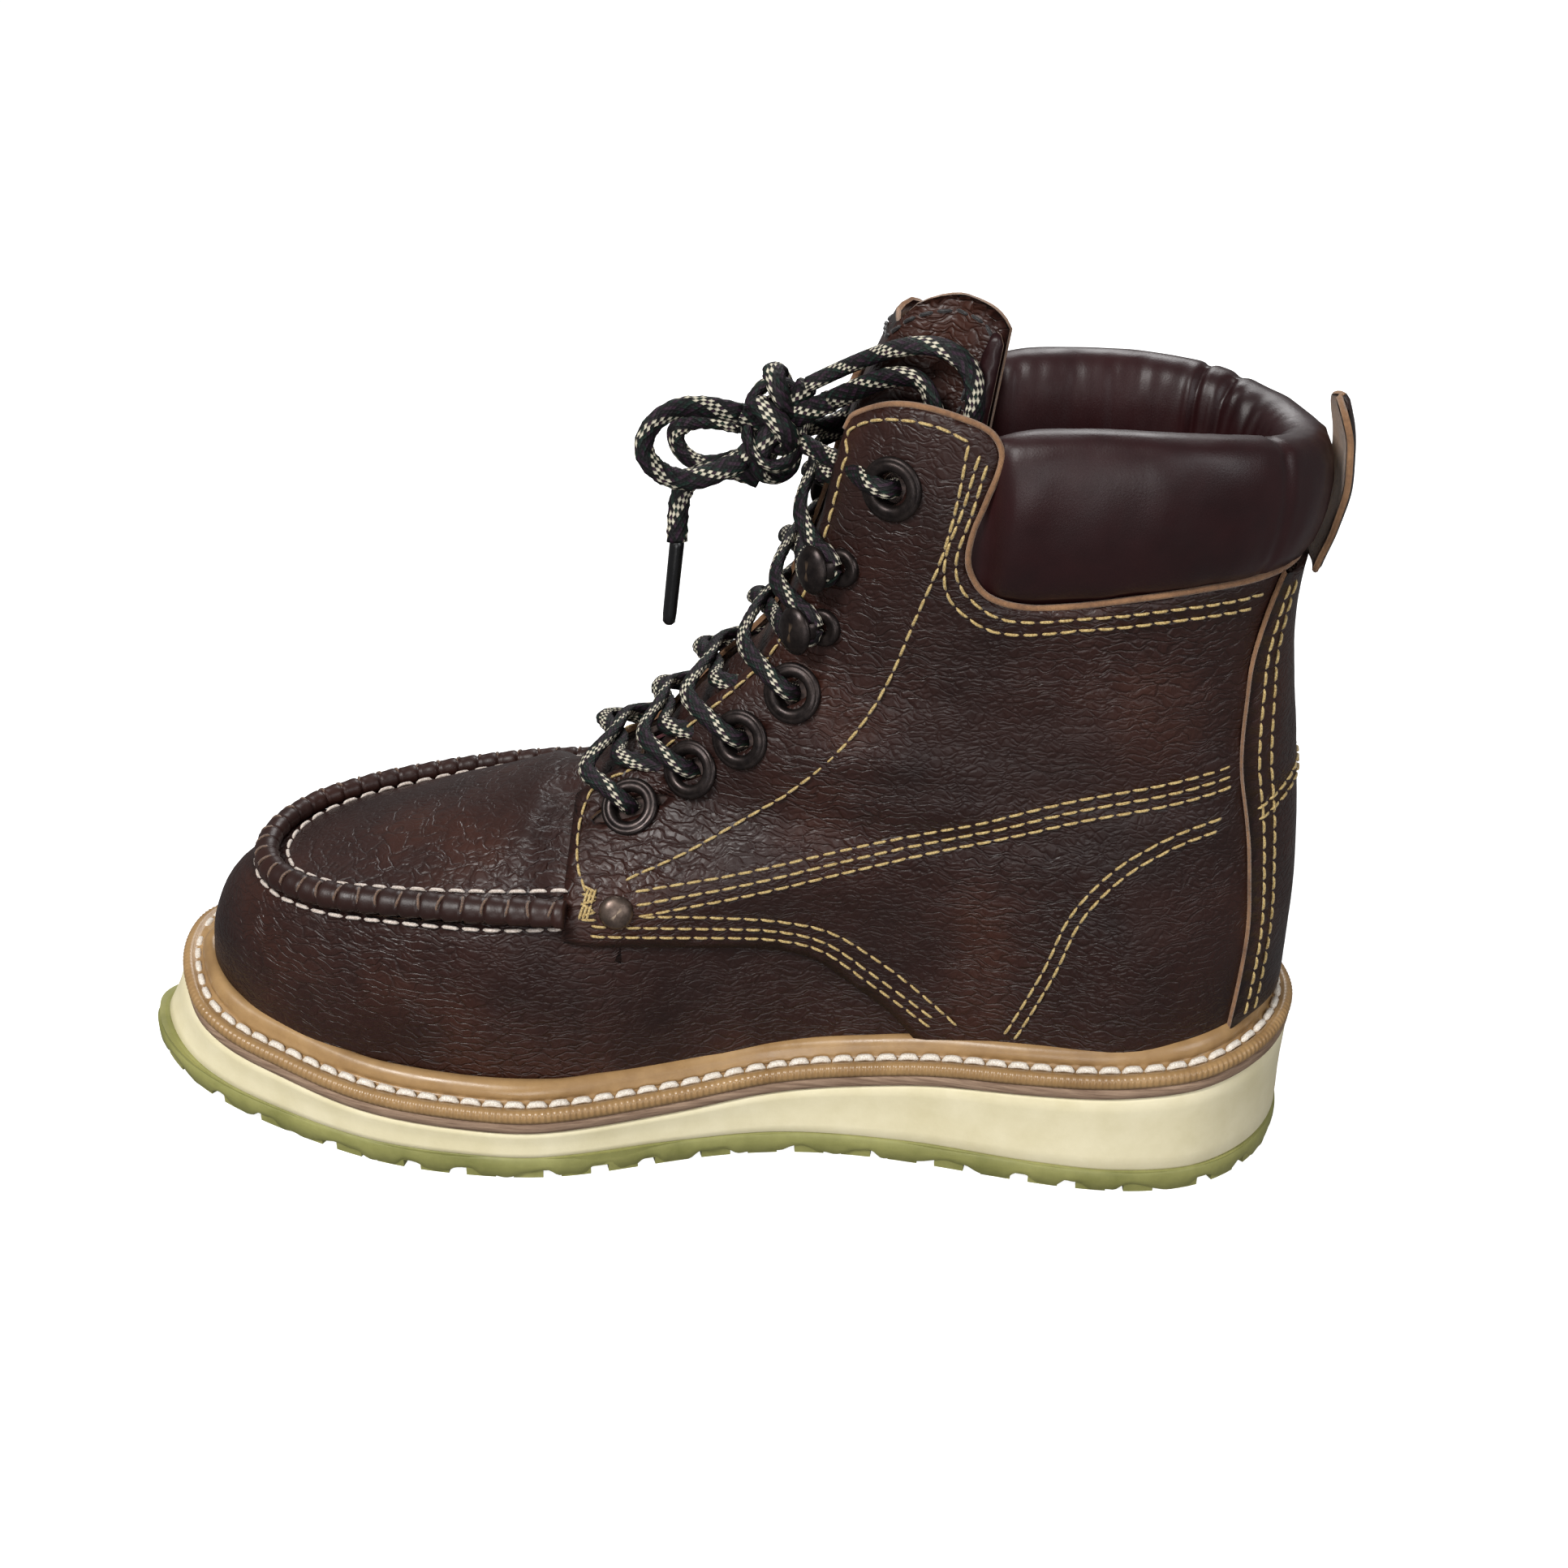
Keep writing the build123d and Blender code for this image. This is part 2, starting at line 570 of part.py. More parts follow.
# ---------------------------------------------------------------- quarters and their layers
SIDE_LEVELS = [20, 30, 40, 50, 60, 70, 78, 86, 94, 102, 110, 120, 132, 144, 156, 168, 180, 190,
               202]
HOLE_CLEARANCE = 0.15
HOOK_SHAFT = 1.6
RIVET_SHAFT = 1.5


def quarter_view(rise=0.0):
    """Side view of the quarter; the flap gap and the backstay trim it further."""
    with BuildSketch(Plane.XZ) as view:
        with BuildLine():
            Spline(*QUARTER_FRONT)
            Polyline(QUARTER_FRONT[-1], (52, 5), (155, 5), (155, QUARTER_TOP[-1][1]),
                     QUARTER_TOP[-1])
            Spline(*reversed(QUARTER_TOP[8:]))
            Spline(*reversed(QUARTER_TOP[5:9]))
            Spline(*reversed(QUARTER_TOP[:6]))
            Polyline(QUARTER_TOP[0], (-34, 140), QUARTER_FRONT[0])
        make_face()
    return view.sketch


def backstay_view(clearance):
    """Back view of the backstay strip, widened by clearance."""
    rights = [(between(BACKSTAY_WIDTH, z) + clearance, z) for z in range(10, 171, 20)]
    with BuildSketch(Plane.YZ.offset(100)) as view:
        with BuildLine():
            Spline(*rights)
            Line(rights[-1], (-rights[-1][0], rights[-1][1]))
            Spline(*[(-y, z) for y, z in reversed(rights)])
            Line((-rights[0][0], rights[0][1]), rights[0])
        make_face()
    return view.sketch


def hardware_holes(side):
    """Where the quarter's layers are punched: (plane, radius)."""
    for place in [*EYELETS, TOP_EYELET]:
        yield hardware_plane(place, side), EYELET_HOLE + 0.6 + HOLE_CLEARANCE
    for place in HOOKS:
        yield hardware_plane(place, side), HOOK_SHAFT + HOLE_CLEARANCE
    yield hardware_plane(RIVET, side), RIVET_SHAFT + HOLE_CLEARANCE


def side_layer(side, depth, thickness, floor):
    """One layer of a quarter, trimmed to its outline and punched for the hardware."""
    with BuildPart() as layer:
        loft([side_section(z, side, depth, thickness) for z in SIDE_LEVELS])
        extrude(quarter_view(), amount=NEAR_Y, both=True, mode=Mode.INTERSECT)
        extrude(floor, amount=NEAR_Y, both=True, mode=Mode.SUBTRACT)
        with BuildSketch(Plane.XY):
            with Locations((-10, centre_line(0))):
                Rectangle(160, 2 * FLAP_GAP)
        extrude(amount=230, mode=Mode.SUBTRACT)
        for plane, radius in hardware_holes(side):
            with BuildSketch(plane.offset(-9)):
                Circle(radius)
            extrude(amount=14, mode=Mode.SUBTRACT)
    return layer.part


COUNTER_FRONT_X = 80.0
COUNTER_TOP = 84.0
quarter_parts = []
for side, name in ((-1, "medial"), (1, "lateral")):
    with BuildPart() as quarter:
        add(side_layer(side, 0, LEATHER, UNDER_BOARD))
        extrude(backstay_view(0.3), amount=60, mode=Mode.SUBTRACT)
    quarter.part.label = f"quarter_{name}"
    with BuildPart() as foam:
        add(side_layer(side, STIFFENER_DEPTH, STIFFENER, UNDER_LINING))
        with BuildSketch(Plane.XZ):
            with Locations((COUNTER_FRONT_X + 50, 40)):
                Rectangle(104, 2 * (COUNTER_TOP - 39))
        extrude(amount=NEAR_Y, both=True, mode=Mode.SUBTRACT)
    foam.part.label = f"quarter_foam_{name}"
    with BuildPart() as lining:
        add(side_layer(side, LINING_DEPTH, LINING, UNDER_LINING))
    lining.part.label = f"quarter_lining_{name}"
    quarter_parts += [quarter.part, foam.part, lining.part]

HEEL_LEVELS = [20, 34, 48, 60, 72, 86, 100, 114, 128, 142, 156, 168]
with BuildPart() as backstay:
    loft([band_section(z, heel_outline, 96, 0, LEATHER, count=21) for z in HEEL_LEVELS])
    extrude(backstay_view(0), amount=60, mode=Mode.INTERSECT)
    extrude(UNDER_BOARD, amount=NEAR_Y, both=True, mode=Mode.SUBTRACT)
    with BuildSketch(Plane.XY.offset(162)):
        Rectangle(400, 200)
    extrude(amount=20, mode=Mode.SUBTRACT)
backstay.part.label = "backstay"

with BuildPart() as heel_counter:
    loft([band_section(z, heel_outline, 76, STIFFENER_DEPTH, STIFFENER, count=21)
          for z in HEEL_LEVELS[:7]])
    with BuildSketch(Plane.XZ):
        with BuildLine():
            Polyline((160, 20), (COUNTER_FRONT_X, 20), (COUNTER_FRONT_X, 46))
            Spline((COUNTER_FRONT_X, 46), (96, 72), (125, COUNTER_TOP - 2), (160, COUNTER_TOP))
            Line((160, COUNTER_TOP), (160, 20))
        make_face()
    extrude(amount=NEAR_Y, both=True, mode=Mode.INTERSECT)
    extrude(UNDER_LINING, amount=NEAR_Y, both=True, mode=Mode.SUBTRACT)
heel_counter.part.label = "heel_counter"

COLLAR_PROUD = 1.0
COLLAR_THICK = 11.0
COLLAR_GAP = 0.5
COLLAR_TOP = [(64.8, 193.5), (72, 195), (95, 195.2), (118, 194), (136, 190.5), (150, 189)]
with BuildPart() as collar_pad:
    loft([band_section(z, heel_outline, 54, -COLLAR_PROUD, COLLAR_THICK, count=31)
          for z in (150, 158, 166, 174, 182, 190, 198)])
    with BuildSketch(Plane.XZ):
        with BuildLine():
            edge = [(x, z + COLLAR_GAP) for x, z in QUARTER_TOP[8:]]
            front = [(x + COLLAR_GAP + 0.3, z) for x, z in QUARTER_TOP[5:9]]
            Spline(*edge)
            Spline(*front)
            Line(front[-1], edge[0])
            Line(edge[-1], COLLAR_TOP[-1])
            Spline(*reversed(COLLAR_TOP))
            Line(COLLAR_TOP[0], front[0])
        make_face()
    extrude(amount=NEAR_Y, both=True, mode=Mode.INTERSECT)
collar_pad.part.label = "collar_pad"

TAB_WIDTH = 19.0
TAB_THICK = 2.2
TAB_HINGE = (140.2, 157.0)
tab_line = [(141.4, 158), (144.2, 167), (145.6, 176), (144.6, 187), (141.6, 197)]
with BuildPart() as pull_tab:
    with BuildSketch(Plane.XZ):
        with BuildLine():
            Spline(*tab_line)
            Line(tab_line[-1], (tab_line[-1][0] + TAB_THICK, tab_line[-1][1] + 0.6))
            Spline(*[(x + TAB_THICK, z + 0.6 * (z - 158) / 39) for x, z in reversed(tab_line)])
            Line((tab_line[0][0] + TAB_THICK, tab_line[0][1]), tab_line[0])
        make_face()
    extrude(amount=TAB_WIDTH / 2, both=True)
pull_tab.part.label = "pull_tab"

# ---------------------------------------------------------------- tongue
TONGUE_DEPTH = 3.6
WING_DEPTH = [(100, 7.4), (120, 7.4), (150, 12.8), (216, 12.8)]
TONGUE_PAD = 2.6
TONGUE_LEVELS = [104, 110, 118, 128, 140, 152, 164, 176, 188, 200, 210, 217]
TONGUE_REAR_X = 66.0
TONGUE_SWING = 0.88


def tongue_section(z, under, thickness):
    """Horizontal section of the tongue, which bows forward between the flaps."""
    steps = [TONGUE_SWING * (i / 14 - 1) for i in range(29)]
    wing = between(WING_DEPTH, z) - TONGUE_DEPTH
    bows = [TONGUE_DEPTH + under + wing * smooth_step(abs(s), 0.08, 0.42) for s in steps]
    outer = [inset(toe_outline, z, s, TONGUE_REAR_X, bow) for s, bow in zip(steps, bows)]
    inner = [inset(toe_outline, z, s, TONGUE_REAR_X, bow + thickness)
             for s, bow in zip(steps, bows)]
    with BuildSketch(Plane.XY.offset(z)) as section:
        with BuildLine():
            Spline(*outer)
            Line(outer[-1], inner[-1])
            Spline(*reversed(inner))
            Line(inner[0], outer[0])
        make_face()
    return section.sketch


def tongue_view(drop):
    """Side view of the tongue, its top edge lowered by drop."""
    top = [(26, 197 - drop), (31, 203 - drop), (37, 209 - drop), (45, 213.5 - drop),
           (55, 216 - drop), (66, 214 - drop)]
    with BuildSketch(Plane.XZ) as view:
        with BuildLine():
            Spline(*top)
            Polyline(top[-1], (66, 105 + drop), (-30, 105 + drop), top[0])
        make_face()
    return view.sketch


with BuildPart() as tongue:
    loft([tongue_section(z, 0, LEATHER) for z in TONGUE_LEVELS])
    extrude(tongue_view(0), amount=NEAR_Y, both=True, mode=Mode.INTERSECT)
tongue.part.label = "tongue"

with BuildPart() as tongue_pad:
    loft([tongue_section(z, LEATHER + 0.1, TONGUE_PAD) for z in TONGUE_LEVELS])
    extrude(tongue_view(3), amount=NEAR_Y, both=True, mode=Mode.INTERSECT)
tongue_pad.part.label = "tongue_pad"

# ---------------------------------------------------------------- eyelets, hooks, rivets
FLANGE_LIFT = 0.8
FLANGE_THICK = 1.2
HOOK_BASE = 4.5
HOOK_RISE = 6.0
hardware_parts = []
for side, name in ((-1, "medial"), (1, "lateral")):
    with BuildPart() as eyelets:
        for place in [*EYELETS, TOP_EYELET]:
            seat = hardware_plane(place, side)
            with BuildSketch(seat.offset(FLANGE_LIFT)):
                Circle(EYELET_FLANGE)
                Circle(EYELET_HOLE, mode=Mode.SUBTRACT)
            extrude(amount=FLANGE_THICK)
            with BuildSketch(seat.offset(-EYELET_LENGTH)):
                Circle(EYELET_HOLE + 0.6)
                Circle(EYELET_HOLE, mode=Mode.SUBTRACT)
            extrude(amount=EYELET_LENGTH + FLANGE_LIFT)
    eyelets.part.label = f"eyelets_{name}"
    with BuildPart() as hooks:
        for place in HOOKS:
            seat = hardware_plane(place, side)
            with BuildSketch(seat.offset(-5)):
                Circle(HOOK_SHAFT)
            extrude(amount=5 + FLANGE_LIFT)
            with BuildSketch(seat.offset(FLANGE_LIFT)):
                Circle(HOOK_BASE)
            extrude(amount=1.0)
            with BuildSketch(seat.offset(FLANGE_LIFT + 1.0)):
                with Locations((-1.5, 0)):
                    Rectangle(2.4, 4.5)
            extrude(amount=HOOK_RISE)
            with BuildSketch(seat.offset(FLANGE_LIFT + 1.0 + HOOK_RISE)):
                with Locations((-3.5, 0)):
                    Ellipse(4.2, 5.6)
            extrude(amount=1.6, taper=25)
    hooks.part.label = f"lace_hooks_{name}"
    with BuildPart() as rivet:
        seat = hardware_plane(RIVET, side)
        with BuildSketch(seat.offset(-4.4)):
            Circle(RIVET_SHAFT)
        extrude(amount=4.5)
        with BuildSketch(seat.offset(FLANGE_LIFT)):
            Circle(4.1)
        extrude(amount=1.5, taper=35)
    rivet.part.label = f"quarter_rivet_{name}"
    hardware_parts += [eyelets.part, hooks.part, rivet.part]


# ---------------------------------------------------------------- lace
def front_point(z, y, lift):
    """Point in front of the instep at height z, lifted off the upper along its normal."""
    slope = between(FRONT_X, z + 1) - between(FRONT_X, z - 1)
    outward = Vector(-2, 0, slope).normalized()
    return Vector(between(FRONT_X, z), y, z) + outward * lift


def beside(place, side, lift, rise=0.0):
    """Point over an eyelet or hook, lifted off the upper."""
    point, outward = surface_at(place[0], place[1], side)
    return point + outward * lift + Vector(0, 0, rise)


def corner_radii(points):
    """The largest tangent arc that the runs beside each corner leave room for."""
    radii = []
    for before, corner, after in zip(points, points[1:], points[2:]):
        into, out = corner - before, after - corner
        half_turn = math.radians(into.get_angle(out)) / 2
        radii.append(0.45 * min(into.length, out.length) / math.tan(half_turn))
    return radii


def lace_tube(points, diameter=LACE):
    """A round length of lace along straight runs joined by tangent arcs."""
    radii = corner_radii(points)
    with BuildPart() as tube:
        with BuildLine() as route:
            FilletPolyline(*points, radius=radii)
        with BuildSketch(Plane(origin=route.line @ 0, z_dir=route.line % 0)):
            Circle(diameter / 2)
        sweep(path=route.line)
    length = sum(edge.length for edge in route.edges())
    share = tube.part.volume / (math.pi * diameter ** 2 / 4 * length)
    print("lace length", round(length, 1), "volume share", round(share, 3),
          "radii", [round(radius, 1) for radius in radii])
    return tube.part


OVER_EYELET = 6.2
OVER_HOOK = 4.0
stations = [*EYELETS, *HOOKS, TOP_EYELET]
with BuildPart() as lace_crossings:
    for k in range(len(stations) - 1):
        here, there = stations[k], stations[k + 1]
        for side in (-1, 1):
            lift = OVER_EYELET if here in EYELETS else OVER_HOOK
            rise = 0 if here in EYELETS else 5.2
            start = beside(here, side, lift, rise)
            step = there[1] - here[1]
            floor = 3.4 if k == 0 else 0
            crossing = floor + (4.6 if side < 0 else -0.6)
            landing = floor + (0.4 if side < 0 else -1.4)
            points = [start,
                      front_point(here[1] + 0.30 * step + 2, side * 15.5, 5.0),
                      front_point(here[1] + 0.58 * step + 2, 0, crossing),
                      front_point(here[1] + 0.86 * step, -side * 12.5, landing)]
            add(lace_tube(points))
    for side in (-1, 1):
        add(lace_tube([beside(TOP_EYELET, side, OVER_EYELET), Vector(30, side * 20.5, 182),
                       Vector(25, side * 14, 181), Vector(23, side * 9, 180)]))
lace_crossings.part.label = "lace_crossings"

KNOT = (14, 0, 184)
KNOT_RADIUS = 8.0
KNOT_HALF_HEIGHT = 11.0
with BuildPart() as lace_knot:
    with BuildSketch(Plane.XZ.shift_origin(KNOT)):
        Ellipse(KNOT_RADIUS, KNOT_HALF_HEIGHT)
        with Locations((-KNOT_RADIUS, 0)):
            Rectangle(2 * KNOT_RADIUS, 3 * KNOT_HALF_HEIGHT, mode=Mode.SUBTRACT)
    revolve(axis=Axis(KNOT, (0, 0, 1)))
lace_knot.part.label = "lace_knot"

LOOP_LARGE = [(5, -4, 177), (-3, -8, 173), (-12, -12, 174), (-18, -14, 181), (-15, -12, 188.5),
              (-6, -7, 191.5), (4, -4, 188)]
LOOP_SMALL = [(6, 4, 175.5), (-3, 7.5, 170.5), (-11, 10, 172.5), (-13.5, 11, 179),
              (-6, 9, 183.5), (3.5, 5, 183)]
TAIL = [(8.8, 0.5, 171), (3, -0.3, 173.4), (-3.5, -1.2, 173.6), (-9.5, -2.5, 169.3),
        (-10.5, -4, 162.5), (-10.5, -4.5, 156)]
LOOP_OVER = [(20, -4, 195.5), (27, -5, 199.5), (34.5, -12.5, 205), (41.5, -19.5, 209.5),
             (50, -22.8, 211), (57, -25.3, 207), (58.5, -26.8, 198.5), (56, -26.6, 190),
             (51.5, -25.6, 190), (49.5, -25, 197), (46.5, -23, 203.3), (40, -20.5, 203.2),
             (33, -15.5, 199), (26, -9, 193.5)]
cords = []
for name, route in (("lace_loop_large", LOOP_LARGE), ("lace_loop_small", LOOP_SMALL),
                    ("lace_tail", TAIL), ("lace_loop_over", LOOP_OVER)):
    with BuildPart() as cord:
        add(lace_tube([Vector(*point) for point in route]))
    cord.part.label = name
    cords.append(cord.part)

AGLET_LENGTH = 21.0
AGLET_RADIUS = 1.8
with BuildPart() as aglet:
    with BuildSketch(Plane(origin=TAIL[-1], z_dir=(-0.1, -0.05, -1)).offset(0.4)):
        Circle(AGLET_RADIUS)
    extrude(amount=AGLET_LENGTH)
    fillet(aglet.faces().sort_by(Axis.Z)[0].edges(), 0.8)
aglet.part.label = "aglet"

assembly = [outsole.part, wedge_midsole.part, rubber_midsole.part, storm_welt.part,
            steel_shank.part, gemming_rib.part, cork_filler.part, insole_board.part,
            footbed.part, vamp_wall.part, vamp_plug.part, moc_seam.part, steel_toe_cap.part,
            toe_cap_edging.part, vamp_lining.part, *quarter_parts, backstay.part,
            heel_counter.part, collar_pad.part, pull_tab.part, tongue.part, tongue_pad.part,
            *hardware_parts, lace_crossings.part, lace_knot.part, *cords, aglet.part]
os.makedirs("parts", exist_ok=True)
for piece in assembly:
    export_step(piece, f"parts/{piece.label}.step")
    print(piece.label, round(piece.volume), len(piece.solids()))
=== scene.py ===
import math

import bpy
from mathutils import Matrix, Vector, noise
from mathutils.geometry import delaunay_2d_cdt


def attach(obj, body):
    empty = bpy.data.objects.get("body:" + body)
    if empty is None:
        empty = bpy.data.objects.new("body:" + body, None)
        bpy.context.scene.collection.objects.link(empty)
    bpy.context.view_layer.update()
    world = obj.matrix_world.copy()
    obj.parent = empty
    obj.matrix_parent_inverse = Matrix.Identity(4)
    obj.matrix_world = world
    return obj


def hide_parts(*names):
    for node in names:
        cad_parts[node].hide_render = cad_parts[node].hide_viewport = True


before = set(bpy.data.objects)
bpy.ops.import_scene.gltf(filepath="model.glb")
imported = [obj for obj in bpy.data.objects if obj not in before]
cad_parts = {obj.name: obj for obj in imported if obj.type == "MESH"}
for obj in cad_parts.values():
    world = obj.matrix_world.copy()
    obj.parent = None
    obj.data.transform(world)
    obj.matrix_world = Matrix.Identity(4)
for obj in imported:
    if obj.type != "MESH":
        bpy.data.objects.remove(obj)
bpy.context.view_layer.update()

# A moc-toe work boot with a steel cap. Shapes are worked out in millimetres in the
# frame's axes (toe to -X, inner side to -Y) and become metres in mesh_object.
MM = 0.001

# ---------------------------------------------------------------- the boot's outlines
SOLE_TOE = (-155, -5)
SOLE_HEEL = (151, -2)
SOLE_MEDIAL = [(-148, -19), (-134, -30), (-111, -40), (-84, -50), (-56, -53.5), (-39, -52.5),
               (-7, -42.6), (20, -36.5), (52, -37.5), (84, -43), (106, -44.5), (127, -39.7),
               (144, -24)]
SOLE_LATERAL = [(144, 23), (127, 38), (100, 43), (68, 41.5), (35, 41), (5, 46), (-30, 52.5),
                (-60, 53), (-90, 48.5), (-115, 39), (-137, 25), (-149, 11)]
WEDGE_TOP = [(-158, 28.5), (-148, 26), (-137, 22.5), (-125, 19), (-109, 16.8), (-91, 15),
             (-60, 13.8), (-30, 13.8), (-8, 15), (14, 18.2), (36, 21.5), (60, 24.8),
             (100, 28), (125, 30.2), (155, 34)]
FRONT_X = [(18, -138), (42, -137.5), (50, -135.5), (60, -130), (66, -122), (69, -112),
           (73, -100), (78, -84), (83, -68), (88, -54), (94, -39), (102, -22), (112, -13),
           (122, -3), (132, 7), (146, 14), (158, 18.7), (172, 22.5), (184, 25), (193, 27.5),
           (203, 31.5), (216, 37), (236, 45.5)]
BACK_X = [(18, 145.3), (60, 145.6), (73, 145.3), (85, 144.3), (99, 142.8), (113, 140.6),
          (128, 138.4), (140, 136.6), (155, 136.6), (170, 138.5), (190, 139.2), (216, 139.5)]
FRONT_REACH = [(18, 70), (60, 70), (67, 66), (70, 76), (72, 86), (80, 115), (90, 138),
               (96, 125), (102, 92), (112, 78), (126, 72), (143, 60), (160, 50), (216, 50)]
FRONT_POWER = [(18, 0.5), (88, 0.5), (110, 0.42), (130, 0.34), (216, 0.34)]
BACK_REACH = 46.0
FOOT_MEDIAL = [(-140, 35), (-110, 39), (-80, 42.3), (-55, 44.8), (-30, 42.5), (0, 34.5),
               (25, 29.8), (45, 30), (70, 33), (100, 37.5), (120, 38), (145, 36)]
FOOT_LATERAL = [(-140, 35), (-110, 39), (-80, 43), (-55, 45), (-30, 44), (0, 39), (25, 35),
                (45, 33.5), (70, 34), (100, 36), (120, 36), (145, 34)]
SHAFT_WIDTH = [(60, 34.5), (90, 34), (115, 32.5), (140, 33), (160, 35), (176, 37), (195, 37.5),
               (216, 37)]
SHAFT_START, SHAFT_FULL = 50.0, 115.0
SEAM = [(-118, 0, 67), (-115.5, 12, 67), (-110, 20, 67.3), (-97, 29.5, 68), (-81, 35, 69.2),
        (-65, 38.8, 70.4), (-50, 41, 71.4), (-35, 42, 72)]
MIDSOLE_RUBBER, WELT = 3.2, 3.2
WELT_TOP = MIDSOLE_RUBBER + WELT
OUTSOLE = 6.0
TOE_SPRING, SPRING_START, SPRING_LENGTH = 9.0, -100.0, 55.0
TOE_SWING = 4.0
EYELETS = [(-20.6, 91.4), (-5.4, 102.5), (7, 113), (19.5, 126.5)]
HOOKS = [(26.5, 144), (30.5, 159.5)]
TOP_EYELET = (41, 180.5)
RIVET = (-22.0, 72.0)

# How far each leather layer stands off the frame's upper surface.
WALL_LIFT, QUARTER_LIFT, BACKSTAY_LIFT = -1.2, 0.7, 2.3
LEATHER = 2.0


def between(table, value):
    """Smooth curve through (position, size) pairs, level beyond both ends."""
    if value <= table[0][0]:
        return table[0][1]
    if value >= table[-1][0]:
        return table[-1][1]
    last = len(table) - 1
    i = max(k for k in range(last) if table[k][0] <= value)

    def slope(k):
        low, high = max(k - 1, 0), min(k + 1, last)
        return (table[high][1] - table[low][1]) / (table[high][0] - table[low][0])

    span = table[i + 1][0] - table[i][0]
    s = (value - table[i][0]) / span
    start, end = table[i][1], table[i + 1][1]
    return (start * (1 + 2 * s) * (1 - s) ** 2 + end * s * s * (3 - 2 * s)
            + span * s * (1 - s) * ((1 - s) * slope(i) - s * slope(i + 1)))


def smooth_step(value, low, high):
    s = min(max((value - low) / (high - low), 0), 1)
    return s * s * (3 - 2 * s)


def tread_height(x):
    return TOE_SPRING * (max(SPRING_START - x, 0) / SPRING_LENGTH) ** 2


def centre_line(x):
    return -TOE_SWING * smooth_step(-x, 60, 140)


def half_width(x, z, side):
    foot = between(FOOT_MEDIAL if side < 0 else FOOT_LATERAL, x)
    shaft = smooth_step(z, SHAFT_START, SHAFT_FULL)
    full = foot * (1 - shaft) + between(SHAFT_WIDTH, z) * shaft
    ahead = min(max((x - between(FRONT_X, z)) / between(FRONT_REACH, z), 0), 1)
    behind = min(max((between(BACK_X, z) - x) / BACK_REACH, 0), 1)
    toe = (1 - (1 - ahead) ** 2) ** between(FRONT_POWER, z)
    return full * toe * math.sqrt(1 - (1 - behind) ** 2)


def crown(x):
    return between([(pair[1], pair[0]) for pair in FRONT_X], x)


def seam_width(x):
    return between([(point[0], point[1]) for point in SEAM], x)


def seam_height(x):
    return between([(point[0], point[2]) for point in SEAM], x)


def plug_height(x, y):
    width = max(seam_width(x), 14)
    drop = max(crown(x) - seam_height(x), 1)
    return crown(x) - drop * abs(y / width) ** 2.2


# ---------------------------------------------------------------- surfaces of the upper
SIDE_FRONT = -62.0


def side_range(z):
    return max(between(FRONT_X, z) + 0.02, SIDE_FRONT), between(BACK_X, z) - 0.02


def side_surface(s, z, side):
    """The upper's side at s, 0 at the instep's ridge and 1 at the back of the heel."""
    front, back = side_range(z)
    x = front + (back - front) * (1 - math.cos(s * math.pi)) / 2
    return Vector((x, centre_line(x) + side * half_width(x, z, side), z))


def side_s(x, z):
    front, back = side_range(z)
    share = min(max((x - front) / (back - front), 0.0002), 0.9998)
    return math.acos(1 - 2 * share) / math.pi


def ring_surface(z, s, end_x, toe):
    """The outline at s from -1 to 1, round the toe or round the heel, ending at end_x."""
    tip = between(FRONT_X, z) if toe else between(BACK_X, z)
    x = tip + (end_x - tip) * (1 - math.cos(abs(s) * math.pi / 2))
    side = -1 if s < 0 else 1
    return Vector((x, centre_line(x) + side * half_width(x, z, side), z))


def lifted(surface, u, v, lift, outward):
    """A surface's point moved off along its normal, and that normal."""
    step = 0.004
    point = surface(u, v)
    along = surface(u + step, v) - surface(u - step, v)
    up = surface(u, v + 0.4) - surface(u, v - 0.4)
    normal = along.cross(up).normalized()
    if normal.dot(outward(point)) < 0:
        normal = -normal
    return point + normal * lift, normal


def from_core(point):
    """Rough outward direction of the upper at a point."""
    core = Vector((min(max(point.x, -95), 95), 0, min(point.z, 60) if point.x < 40 else point.z))
    return point - core


def on_side(x, z, side, lift):
    """Point and normal of the upper at x and z on one side."""
    s = min(max(side_s(x, z), 0.006), 0.994)
    return lifted(lambda a, b: side_surface(a, b, side), s, z, lift, from_core)


# ---------------------------------------------------------------- mesh helpers
def add_object(name, data):
    made = bpy.data.objects.new(name, data)
    bpy.context.scene.collection.objects.link(made)
    return made


def mesh_object(name, points, faces, materials, body="boot", indices=None, uvs=None):
    """A mesh in metres from millimetre points, riding on a body."""
    mesh = bpy.data.meshes.new(name)
    mesh.from_pydata([tuple(Vector(p) * MM) for p in points], [], faces)
    for material in materials:
        mesh.materials.append(material)
    if indices:
        mesh.polygons.foreach_set("material_index", indices)
    if uvs:
        layer = mesh.uv_layers.new(name="UVMap")
        for face in mesh.polygons:
            places = [uvs[v] for v in face.vertices]
            wraps = max(v for _, v in places) - min(v for _, v in places) > 0.5
            for loop, (u, v) in zip(face.loop_indices, places):
                layer.data[loop].uv = (u, v + 1 if wraps and v < 0.5 else v)
    mesh.polygons.foreach_set("use_smooth", [True] * len(mesh.polygons))
    mesh.validate()
    mesh.update()
    piece = add_object(name, mesh)
    if body:
        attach(piece, body)
    return piece


